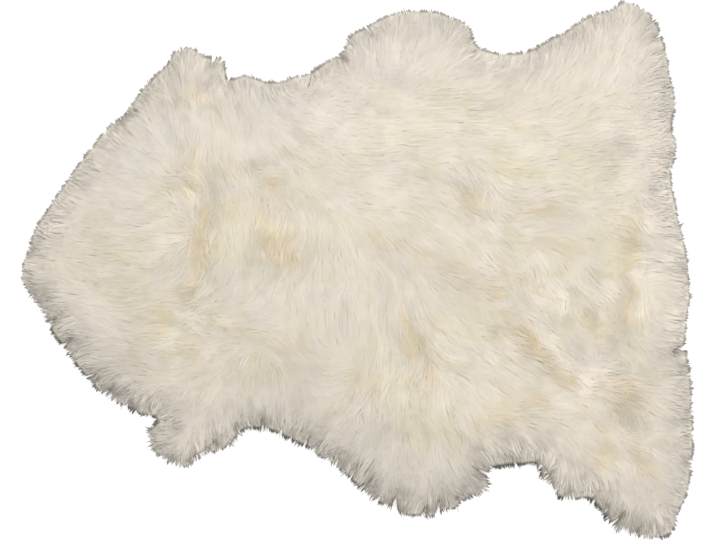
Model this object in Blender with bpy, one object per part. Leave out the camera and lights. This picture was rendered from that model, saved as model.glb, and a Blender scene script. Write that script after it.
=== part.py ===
"""Sheepskin rug: one tanned pelt with its wool on, lying wool side up on a flat floor.

The pelt is a single piece, so it is a single solid. The solid reaches as far as the wool does: its outline is
the line of the wool tips round the neck, legs, belly and rump, its underside is the flat of the skin, and its
top is the lie of the fleece, which rises from a low rim to the full height of the pile and holds the main
partings and ridges of the wool.

Frame: metres, +Z up. +X runs from the neck to the rump, and +Y to the pelt's right flank. The origin is on
the floor, under the middle of the pelt.
"""

from collections import namedtuple

import bmesh
import bpy
import numpy as np
from mathutils import Vector
from mathutils.geometry import delaunay_2d_cdt

# Driving sizes
LENGTH = 0.941  # neck end to rump, to the wool tips
WIDTH = 0.752  # hind leg tip to hind leg tip, to the wool tips
PILE_HEIGHT = 0.050  # wool as it lies on the back, with the skin under it
RIM_HEIGHT = 0.007  # wool tips where they lie out over the floor
SHOULDER = 0.080  # how far in from the rim the wool reaches its full height
SHOULDER_ROUNDNESS = 2.2  # 2 is a quarter of an ellipse, and more is squarer
SWELL = 0.0022  # how far the lie of the fleece swells and dips between its partings
SWELL_LENGTH = 0.150  # from one swell to the next

# Fineness of the faceted surface
RIM_STEP = 0.011  # between points along the rim
RIM_RINGS = (0.007, 0.018, 0.033)  # insets that carry the round of the rim
BACK_STEP = 0.0165  # between points on the back
RING_CLEARANCE = 0.85  # a ring point nearer the rim than this share of its inset is left out

WOOL_COLOUR = (0.76, 0.70, 0.58, 1.0)
WOOL_ROUGHNESS = 0.95

# The outline, from the neck end round by the right side, the rump and the left side. Along is a share of half
# the length, from the middle towards the rump, and across a share of half the width, towards the right.
Landmark = namedtuple("Landmark", "part along across")
OUTLINE = (
    Landmark("neck end", -1.000, -0.030),
    Landmark("neck end", -0.964, 0.130),
    Landmark("neck, right side", -0.868, 0.330),
    Landmark("neck, right side", -0.754, 0.515),
    Landmark("foreleg, right", -0.580, 0.750),
    Landmark("foreleg tip, right", -0.535, 0.830),
    Landmark("foreleg tip, right", -0.493, 0.830),
    Landmark("foreleg, right", -0.445, 0.785),
    Landmark("foreleg corner, right", -0.406, 0.780),
    Landmark("armpit, right", -0.387, 0.710),
    Landmark("flank, right", -0.340, 0.730),
    Landmark("flank, right", -0.245, 0.700),
    Landmark("flank, right", -0.078, 0.790),
    Landmark("belly lobe, right", -0.030, 0.860),
    Landmark("belly lobe, right", 0.150, 0.970),
    Landmark("belly lobe, right", 0.333, 0.910),
    Landmark("groin, right", 0.357, 0.830),
    Landmark("groin, right", 0.490, 0.810),
    Landmark("hind leg, right", 0.595, 0.880),
    Landmark("hind leg, right", 0.700, 0.950),
    Landmark("hind leg tip, right", 0.805, 1.000),
    Landmark("hind leg tip, right", 0.876, 0.940),
    Landmark("rump", 0.943, 0.620),
    Landmark("rump nick", 0.931, 0.545),
    Landmark("rump", 0.950, 0.470),
    Landmark("rump nick", 0.932, 0.340),
    Landmark("rump", 0.961, 0.160),
    Landmark("rump", 0.991, -0.080),
    Landmark("rump nick", 0.972, -0.280),
    Landmark("rump", 0.991, -0.430),
    Landmark("rump", 0.999, -0.650),
    Landmark("hind leg tip, left", 0.946, -0.940),
    Landmark("hind leg tip, left", 0.868, -1.000),
    Landmark("hind leg tip, left", 0.770, -0.970),
    Landmark("hind leg, left", 0.693, -0.850),
    Landmark("hind leg, left", 0.612, -0.860),
    Landmark("hind leg, left", 0.543, -0.780),
    Landmark("groin, left", 0.519, -0.725),
    Landmark("groin, left", 0.404, -0.735),
    Landmark("belly lobe, left", 0.380, -0.810),
    Landmark("belly lobe, left", 0.202, -0.920),
    Landmark("belly lobe, left", 0.095, -0.890),
    Landmark("flank, left", -0.200, -0.630),
    Landmark("flank, left", -0.330, -0.593),
    Landmark("armpit, left", -0.373, -0.640),
    Landmark("foreleg tip, left", -0.530, -0.740),
    Landmark("foreleg tip, left", -0.629, -0.620),
    Landmark("armpit nick, left", -0.590, -0.565),
    Landmark("cheek, left", -0.670, -0.515),
    Landmark("cheek, left", -0.765, -0.455),
    Landmark("neck, left side", -0.915, -0.213),
)

# The main partings, where the wool falls away to both sides (rise below 0), and ridges, where it heaps up.
# Each runs straight between its two ends, given in the outline's shares, and fades out past them.
Fold = namedtuple("Fold", "name along across to_along to_across width rise")
FOLDS = (
    Fold("rump parting", 0.785, 0.42, 0.730, -0.22, 0.026, -0.009),
    Fold("rump ridge", 0.865, 0.46, 0.825, -0.20, 0.022, 0.004),
    Fold("tail parting", 0.735, -0.42, 0.765, -0.60, 0.022, -0.008),
    Fold("left haunch parting, upper", 0.420, -0.26, 0.560, -0.42, 0.020, -0.007),
    Fold("left haunch ridge", 0.500, -0.06, 0.600, -0.34, 0.020, 0.004),
    Fold("left haunch parting, lower", 0.650, -0.20, 0.705, -0.30, 0.020, -0.006),
    Fold("left hind leg parting", 0.690, -0.62, 0.830, -0.74, 0.022, -0.005),
    Fold("back parting", 0.085, 0.02, 0.170, -0.36, 0.020, -0.007),
    Fold("saddle hollow", 0.320, 0.28, 0.345, 0.18, 0.022, -0.006),
    Fold("right belly parting", -0.050, 0.70, 0.120, 0.66, 0.022, -0.005),
    Fold("right groin parting", 0.270, 0.62, 0.390, 0.58, 0.022, -0.004),
    Fold("right foreleg parting", -0.520, 0.66, -0.375, 0.58, 0.020, -0.007),
    Fold("withers parting", -0.460, 0.36, -0.490, -0.16, 0.024, -0.007),
    Fold("shoulder hollow, right", -0.250, 0.36, -0.235, 0.24, 0.020, -0.006),
    Fold("shoulder hollow, left", -0.290, 0.06, -0.200, 0.02, 0.022, -0.006),
    Fold("left flank parting", -0.450, -0.18, -0.060, -0.36, 0.022, -0.005),
    Fold("left cheek parting", -0.720, -0.36, -0.560, -0.40, 0.022, -0.006),
    Fold("left belly parting", 0.070, -0.66, 0.170, -0.62, 0.022, -0.005),
)


def pelt_place(along, across):
    """A place on the floor, in metres, from shares of half the length and half the width."""
    return np.array((along * LENGTH / 2, across * WIDTH / 2))


def rounded_span(before, start, end, after, count):
    """Points from start up to end, on the centripetal Catmull-Rom curve that also heeds the two neighbours."""
    corners = (before, start, end, after)
    knots = [0.0]
    for corner, following in zip(corners, corners[1:]):
        knots.append(knots[-1] + np.linalg.norm(following - corner) ** 0.5)
    t = np.linspace(knots[1], knots[2], count, endpoint=False)[:, None]

    def between(a, b, low, high):
        return ((high - t) * a + (t - low) * b) / (high - low)

    first = [between(corners[i], corners[i + 1], knots[i], knots[i + 1]) for i in range(3)]
    second = [between(first[i], first[i + 1], knots[i], knots[i + 2]) for i in range(2)]
    return between(second[0], second[1], knots[1], knots[2])


def rim_line():
    """The outline as a smooth closed line, clockwise from above, with the origin at the middle of its box."""
    marks = [pelt_place(mark.along, mark.across) for mark in OUTLINE]
    spans = []
    for i, mark in enumerate(marks):
        end = marks[(i + 1) % len(marks)]
        count = max(1, round(np.linalg.norm(end - mark) / RIM_STEP))
        spans.append(rounded_span(marks[i - 1], mark, end, marks[(i + 2) % len(marks)], count))
    rim = np.concatenate(spans)
    return rim - (rim.max(axis=0) + rim.min(axis=0)) / 2


def distance_to_segments(points, starts, ends):
    """For each point, its distance to each segment, and how far along that segment its nearest place is."""
    run = ends - starts
    offset = points[:, None, :] - starts[None, :, :]
    share = (offset * run).sum(-1) / (run * run).sum(-1)
    nearest = np.clip(share, 0.0, 1.0)[..., None] * run
    return np.linalg.norm(offset - nearest, axis=-1), share


def distance_to_rim(points, rim):
    """How far in from the rim each point lies."""
    return distance_to_segments(points, rim, np.roll(rim, -1, axis=0))[0].min(axis=1)


def inside_rim(points, rim):
    """Whether each point lies inside the rim, by the number of times a ray towards +X crosses it."""
    start, end = rim, np.roll(rim, -1, axis=0)
    x, y = points[:, 0, None], points[:, 1, None]
    spans = (start[:, 1] > y) != (end[:, 1] > y)
    rise = np.where(start[:, 1] == end[:, 1], 1.0, end[:, 1] - start[:, 1])
    crossing = start[:, 0] + (y - start[:, 1]) * (end[:, 0] - start[:, 0]) / rise
    return (spans & (x < crossing)).sum(axis=1) % 2 == 1


def rim_rings(rim):
    """Points on lines that follow the rim at each inset, without those that a narrow place crowds."""
    tangent = np.roll(rim, -1, axis=0) - np.roll(rim, 1, axis=0)
    inward = np.stack((tangent[:, 1], -tangent[:, 0]), axis=1)
    inward /= np.linalg.norm(inward, axis=1)[:, None]
    rings = []
    for number, inset in enumerate(RIM_RINGS):
        stride = 1 + number // 2
        ring = (rim + inset * inward)[::stride]
        rings.append(ring[distance_to_rim(ring, rim) > RING_CLEARANCE * inset])
    return np.concatenate(rings)


def back_grid(rim):
    """A triangular grid of points over the back, inside the innermost ring."""
    row_step = BACK_STEP * np.sqrt(3) / 2
    rows = np.arange(-WIDTH / 2, WIDTH / 2, row_step)
    columns = np.arange(-LENGTH / 2, LENGTH / 2, BACK_STEP)
    grid = np.array([(x + BACK_STEP / 2 * (i % 2), y) for i, y in enumerate(rows) for x in columns])
    clear = distance_to_rim(grid, rim) > RIM_RINGS[-1] + BACK_STEP * 0.6
    return grid[clear & inside_rim(grid, rim)]


def fold_rise(points):
    """How far the partings and ridges lift the fleece at each point."""
    starts = np.array([pelt_place(fold.along, fold.across) for fold in FOLDS])
    ends = np.array([pelt_place(fold.to_along, fold.to_across) for fold in FOLDS])
    width = np.array([fold.width for fold in FOLDS])
    rise = np.array([fold.rise for fold in FOLDS])
    distance, _ = distance_to_segments(points, starts, ends)
    return (rise * np.exp(-((distance / width) ** 2))).sum(axis=1)


def swell(points):
    """The gentle rise and fall of the fleece, as three crossing waves."""
    wave = 2 * np.pi / SWELL_LENGTH
    x, y = points[:, 0], points[:, 1]
    crossing = np.sin(wave * (0.94 * x + 0.34 * y) + 0.7) + np.sin(wave * (0.77 * y - 0.50 * x) + 2.1)
    return SWELL * (crossing + np.sin(wave * (0.41 * x + 1.30 * y) + 4.0)) / 1.5


def fleece_height(points, rim):
    """Height of the lie of the fleece over the floor."""
    inset = np.clip(distance_to_rim(points, rim) / SHOULDER, 0.0, 1.0)
    round_up = (1.0 - (1.0 - inset) ** SHOULDER_ROUNDNESS) ** (1.0 / SHOULDER_ROUNDNESS)
    relief = (fold_rise(points) + swell(points)) * round_up**2
    return RIM_HEIGHT + (PILE_HEIGHT - RIM_HEIGHT) * round_up + relief


def pelt_mesh():
    """The pelt as one closed mesh: the fleece on top, the rim round it and the flat skin below."""
    rim = rim_line()
    count = len(rim)
    points = np.concatenate((rim, rim_rings(rim), back_grid(rim)))
    loop = list(range(count))
    inside_only = 1
    places, _, faces, sources, _, _ = delaunay_2d_cdt(
        [Vector(p) for p in points], [], [loop], inside_only, 1e-7
    )
    found = np.array([tuple(place) for place in places])
    height = fleece_height(found, rim)
    height[[i for i, source in enumerate(sources) if any(s < count for s in source)]] = RIM_HEIGHT
    at_source = {s: i for i, source in enumerate(sources) for s in source}

    shape = bmesh.new()
    top = [shape.verts.new((x, y, z)) for (x, y), z in zip(found, height)]
    for face in faces:
        shape.faces.new([top[i] for i in face])
    rim_top = [top[at_source[i]] for i in loop]
    rim_bottom = [shape.verts.new((v.co.x, v.co.y, 0.0)) for v in rim_top]
    for i in loop:
        following = (i + 1) % count
        shape.faces.new((rim_top[i], rim_top[following], rim_bottom[following], rim_bottom[i]))
    shape.faces.new(rim_bottom)
    bmesh.ops.recalc_face_normals(shape, faces=shape.faces)
    mesh = bpy.data.meshes.new("sheepskin")
    shape.to_mesh(mesh)
    shape.free()
    return mesh


def wool_material():
    material = bpy.data.materials.new("ivory_wool")
    material.use_nodes = True
    shader = material.node_tree.nodes["Principled BSDF"]
    shader.inputs["Base Color"].default_value = WOOL_COLOUR
    shader.inputs["Roughness"].default_value = WOOL_ROUGHNESS
    shader.inputs["Metallic"].default_value = 0.0
    return material


def clear_scene():
    for obj in list(bpy.data.objects):
        bpy.data.objects.remove(obj, do_unlink=True)


def main():
    clear_scene()
    mesh = pelt_mesh()
    mesh.materials.append(wool_material())
    mesh.shade_smooth()
    mesh.set_sharp_from_angle(angle=np.radians(60))
    pelt = bpy.data.objects.new("sheepskin", mesh)
    bpy.context.scene.collection.objects.link(pelt)


main()
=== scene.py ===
"""Sheepskin rug: the wool, the underwool and the suede back of one tanned pelt, laid wool side up.

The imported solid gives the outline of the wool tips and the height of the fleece. Everything is grown from it:
a thin suede hide, a bed of underwool on the hide, and locks of combed wool that rise from the underwool, lie
over in the direction in which the fleece was brushed, and fall to the floor round the rim.
"""

from collections import namedtuple

import bpy
import numpy as np
from bpy.props import FloatProperty, FloatVectorProperty, IntProperty, PointerProperty
from bpy.types import Operator, Panel, PropertyGroup
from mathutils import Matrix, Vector
from mathutils.bvhtree import BVHTree


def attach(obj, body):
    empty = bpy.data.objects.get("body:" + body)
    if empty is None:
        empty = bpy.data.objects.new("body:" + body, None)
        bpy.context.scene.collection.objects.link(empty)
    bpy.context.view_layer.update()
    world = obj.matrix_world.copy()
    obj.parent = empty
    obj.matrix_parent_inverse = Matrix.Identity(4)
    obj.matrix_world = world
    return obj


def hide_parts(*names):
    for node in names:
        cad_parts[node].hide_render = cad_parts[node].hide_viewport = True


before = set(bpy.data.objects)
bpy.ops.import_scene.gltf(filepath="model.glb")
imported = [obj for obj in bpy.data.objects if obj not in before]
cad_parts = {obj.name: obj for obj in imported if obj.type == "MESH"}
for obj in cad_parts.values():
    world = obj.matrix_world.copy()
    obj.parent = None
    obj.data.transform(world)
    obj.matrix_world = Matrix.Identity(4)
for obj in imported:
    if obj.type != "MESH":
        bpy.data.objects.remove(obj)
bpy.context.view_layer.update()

bl_info = {
    "name": "Sheepskin Rug",
    "version": (1, 0, 0),
    "blender": (4, 5, 0),
    "location": "View3D > Sidebar > Sheepskin",
    "description": "Grows the wool, underwool and suede back of a sheepskin rug",
    "category": "Object",
}

PELT_NODE = "sheepskin"
BODY = "root"

GRID_STEP = 0.004  # between the places at which the pelt's fields are worked out
GRID_MARGIN = 0.03  # how far the grid goes on past the pelt
INSIDE_CELL = 0.001  # how far inside the grid's last cells a place is held, in grid steps
SLAB_STEP = 0.009  # between the points of the hide and of the underwool
FLOOR_CLEARANCE = 0.0004  # between the floor and the hide, and between the hide and the underwool
UNDERSIDE = 1e-5  # a corner of the solid that is no higher than this is on its flat underside
TINY = 1e-9  # stands in for a length of nothing where something is divided by it
AT_ONCE = 2000  # points that are worked out together, to spare memory
WOOL_SEED = 7
DRIFT_SEEDS = (11, 12)
STREAK_SEED = 21

# ---- What the wool is like, part by part
#
# Places in these tables are shares of the pelt's half length, towards the rump, and of its half width,
# towards the right. Widths and reaches are in metres.


def listed(fields, *parts):
    """A table's rows, from lists that each start with a part of the pelt. A last number left out is 0."""
    row = namedtuple("Row", "part " + fields, defaults=(0.0,))
    return [row(part, *values) for part, *rows in parts for values in rows]


# How the fleece was brushed: each stroke of the brush, from where it starts to where it ends.
STROKES = listed(
    "along across to_along to_across",
    ("neck", (-0.55, 0.15, -0.92, 0.12)),
    ("neck, right side", (-0.58, 0.32, -0.82, 0.42)),
    ("neck, left side", (-0.55, -0.14, -0.88, -0.03)),
    ("neck, left edge", (-0.6, -0.28, -0.86, -0.26)),
    ("cheek, left", (-0.54, -0.42, -0.76, -0.43)),
    ("cheek, right", (-0.56, 0.42, -0.7, 0.58)),
    ("foreleg, right", (-0.52, 0.45, -0.54, 0.76)),
    ("shoulder, right", (-0.28, 0.4, -0.42, 0.66)),
    ("flank, right", (-0.06, 0.5, -0.26, 0.64)),
    ("shoulder blade curl", (-0.24, 0.3, -0.38, 0.42)),
    ("withers", (-0.44, 0.06, -0.48, 0.36)),
    ("withers curl", (-0.32, 0.26, -0.36, 0.02)),
    ("shoulder blade, left", (-0.26, 0.02, -0.38, -0.18)),
    ("nape curl", (-0.46, -0.02, -0.56, -0.12)),
    ("shoulder, left", (-0.3, -0.2, -0.58, -0.2)),
    ("flank, left", (-0.32, -0.26, 0.0, -0.38)),
    ("flank edge, left", (-0.26, -0.38, -0.28, -0.55)),
    ("foreleg root, left", (-0.4, -0.38, -0.46, -0.58)),
    ("foreleg, left", (-0.5, -0.52, -0.6, -0.68)),
    ("saddle, front", (-0.2, 0.08, -0.19, -0.2)),
    ("saddle", (-0.08, 0.16, -0.06, -0.2)),
    ("saddle, left", (0.05, 0.02, 0.07, -0.3)),
    ("belly, left", (0.14, -0.22, 0.05, -0.46)),
    ("back, front", (-0.1, 0.34, 0.16, 0.32)),
    ("back", (0.02, 0.24, 0.24, 0.1)),
    ("loin", (0.12, 0.08, 0.24, -0.14)),
    ("loin, left", (0.26, 0.06, 0.42, -0.18)),
    ("back curl", (0.34, 0.34, 0.38, 0.12)),
    ("loin, right", (0.1, 0.52, 0.62, 0.5)),
    ("haunch, right", (0.44, 0.36, 0.78, 0.34)),
    ("haunch", (0.46, 0.16, 0.76, 0.06)),
    ("haunch locks, left", (0.46, -0.04, 0.62, -0.38)),
    ("haunch, left", (0.62, -0.02, 0.76, -0.26)),
    ("thigh, left", (0.26, -0.26, 0.54, -0.42)),
    ("thigh curl, left", (0.54, -0.48, 0.74, -0.56)),
    ("belly, right", (-0.14, 0.6, 0.3, 0.64)),
    ("belly lobe, right", (0.0, 0.72, -0.02, 0.86), (0.22, 0.7, 0.26, 0.94)),
    ("groin, right", (0.38, 0.66, 0.5, 0.78)),
    ("hind leg, right", (0.62, 0.62, 0.76, 0.92)),
    ("rump, right", (0.76, 0.5, 0.92, 0.54)),
    ("rump", (0.84, 0.14, 0.97, 0.12)),
    ("rump, left", (0.8, -0.32, 0.97, -0.36)),
    ("rump corner, left", (0.8, -0.56, 0.96, -0.66)),
    ("hind leg, left", (0.72, -0.66, 0.86, -0.92)),
    ("hind leg front, left", (0.54, -0.66, 0.66, -0.84)),
    ("belly lobe, left", (0.14, -0.54, 0.12, -0.86)),
    ("belly lobe front, left", (0.02, -0.52, -0.08, -0.68)),
    ("belly lobe back, left", (0.24, -0.5, 0.36, -0.76)),
    ("groin, left", (0.34, -0.5, 0.48, -0.66)),
    ("foreleg back, right", (-0.44, 0.56, -0.4, 0.76)),
    ("foreleg toe, left", (-0.56, -0.54, -0.63, -0.64)),
    ("hind toe, left", (0.8, -0.78, 0.92, -0.98)),
)
STROKE_REACH = 0.034  # how far to its sides a stroke is felt
RIM_REACH = 0.040  # how far in from the rim the wool is combed straight out
RIM_COMBED = 0.88  # how nearly straight out it is combed there
WAVES = ((0.032, 0.26), (0.014, 0.16))  # how far the waves in the wool reach, and how far they turn it
RELIEF = 1.9  # how strongly the strands take the light of the slope that they lie on
RIM_RELIEF = 0.5  # the same at the rim
RELIEF_REACH = 0.08  # how far in from the rim it comes to its full strength
STREAK = 0.006  # how wide the brighter and duller streaks in the wool are
MINGLING = 0.050  # how far apart the lie is compared, to find where the wool is ruffled
BED_EDGE = 0.030  # how far in from its edge the underwool comes to its full height
# The wilder side, at the left and at the neck, away from the key light, is also painted in deeper shade round
# the rim.
WILD = 0.45  # how much wildness the wool of the rim has, half way between its wildest and its tamest side
WILDER_LEFT = 0.55  # how much wilder it is at the left side
WILDER_FRONT = 0.20  # how much wilder it is at the neck
LEAST_WILD = 0.15  # how much wildness it has at the least

# Where the brush left the wool ruffled: from one end to the other, how wide, and how strongly.
RUFFLES = listed(
    "along across to_along to_across width strength",
    ("withers", (-0.48, 0.38, -0.46, -0.14, 0.03, 0.9)),
    ("shoulder blade", (-0.28, 0.34, -0.22, 0.02, 0.034, 0.8)),
    ("shoulder, left", (-0.6, -0.18, -0.28, -0.34, 0.032, 0.5)),
    ("foreleg, right", (-0.54, 0.62, -0.42, 0.6, 0.022, 0.8)),
    ("back curl", (0.32, 0.32, 0.4, 0.18, 0.028, 0.9)),
    ("loin", (0.14, -0.18, 0.2, -0.36, 0.03, 0.6)),
    ("haunch", (0.42, 0.0, 0.66, -0.12, 0.04, 0.7)),
    ("haunch, left", (0.44, -0.22, 0.68, -0.4, 0.036, 1.0)),
    ("thigh", (0.74, -0.34, 0.8, -0.66, 0.03, 0.8)),
    ("rump parting", (0.84, 0.26, 0.8, -0.2, 0.018, 0.7)),
    ("belly, left", (-0.02, -0.44, 0.08, -0.52, 0.026, 0.7)),
    ("groin, left", (0.34, -0.58, 0.54, -0.5, 0.026, 0.6)),
)

# Where the wool is stained: from one end to the other, how wide, and how strongly. Below 0 is bleached.
STAINS = listed(
    "along across to_along to_across width strength",
    ("withers stain", (-0.49, 0.38, -0.5, 0.29, 0.006, 0.6), (-0.43, 0.23, -0.47, 0.09, 0.007, 1.0),
        (-0.47, 0.09, -0.5, -0.09, 0.006, 0.8), (-0.38, 0.39, -0.37, 0.36, 0.005, 0.8),
        (-0.34, -0.06, -0.33, -0.19, 0.005, 0.5)),
    ("shoulder blade stain", (-0.27, 0.35, -0.25, 0.31, 0.008, 1.0), (-0.3, 0.19, -0.21, 0.03, 0.01, 0.7),
        (-0.24, 0.05, -0.18, 0.02, 0.01, 1.0)),
    ("foreleg root stain", (-0.54, 0.63, -0.47, 0.66, 0.006, 0.7), (-0.47, 0.66, -0.42, 0.6, 0.005, 0.7)),
    ("neck stain", (-0.58, -0.14, -0.59, -0.21, 0.007, 0.6)),
    ("shoulder stain, left", (-0.48, -0.29, -0.47, -0.36, 0.006, 0.6),
        (-0.39, -0.21, -0.33, -0.23, 0.005, 0.6)),
    ("flank stain, left", (-0.33, -0.33, -0.29, -0.35, 0.005, 0.5),
        (-0.21, -0.26, -0.17, -0.27, 0.005, 0.5)),
    ("saddle stain", (0.15, -0.19, 0.16, -0.31, 0.006, 1.0), (0.18, -0.31, 0.22, -0.41, 0.007, 0.8)),
    ("belly stain, left", (-0.01, -0.41, 0.03, -0.44, 0.008, 0.6)),
    ("back stain", (0.32, 0.29, 0.36, 0.21, 0.006, 1.0), (0.5, 0.21, 0.58, 0.2, 0.006, 0.8),
        (0.04, 0.11, 0.16, 0.06, 0.007, 0.4)),
    ("loin stain", (0.21, 0.04, 0.32, -0.01, 0.008, 0.5), (0.32, -0.09, 0.5, -0.06, 0.006, 0.7)),
    ("haunch stain", (0.56, 0.09, 0.66, 0.05, 0.006, 0.6)),
    ("haunch stain, left", (0.44, -0.21, 0.52, -0.29, 0.007, 0.8), (0.52, -0.29, 0.63, -0.41, 0.008, 1.0),
        (0.68, -0.19, 0.71, -0.23, 0.007, 0.7)),
    ("rump parting stain", (0.84, 0.23, 0.81, 0.06, 0.006, 1.0), (0.81, 0.06, 0.78, -0.19, 0.007, 0.9)),
    ("thigh stain", (0.79, -0.42, 0.8, -0.53, 0.01, 0.8), (0.73, -0.61, 0.73, -0.71, 0.006, 0.7),
        (0.48, -0.49, 0.56, -0.48, 0.007, 0.8)),
    ("groin stain, left", (0.36, -0.58, 0.44, -0.55, 0.007, 0.6)),
    ("hind leg stain", (0.83, -0.71, 0.87, -0.75, 0.006, 0.8)),
    ("bleached rump fold", (0.88, 0.3, 0.85, 0.0, 0.01, -0.9)),
    ("bleached shoulder", (-0.48, 0.6, -0.14, 0.6, 0.03, -0.3)),
    ("bleached saddle", (-0.38, -0.06, -0.08, -0.1, 0.024, -0.5)),
    ("bleached haunch locks", (0.56, -0.24, 0.68, -0.42, 0.006, -1.0),
        (0.5, -0.12, 0.6, -0.26, 0.006, -0.8)),
    ("bleached back curl", (0.34, 0.34, 0.42, 0.26, 0.008, -0.8)),
    ("bleached belly", (0.04, 0.74, 0.2, 0.78, 0.028, -0.8)),
)
CAST_SPREAD = 2.4  # how much wider than a stain the tan cast round it is
STAIN_DRIFT = 0.004  # how far the edges of stains and ruffles wander
STAIN_BLUR = 0.0018  # how far strands carry a stain to their sides
DRIFT_REACH = 0.010  # how far along an edge each of its wanderings goes
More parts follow.
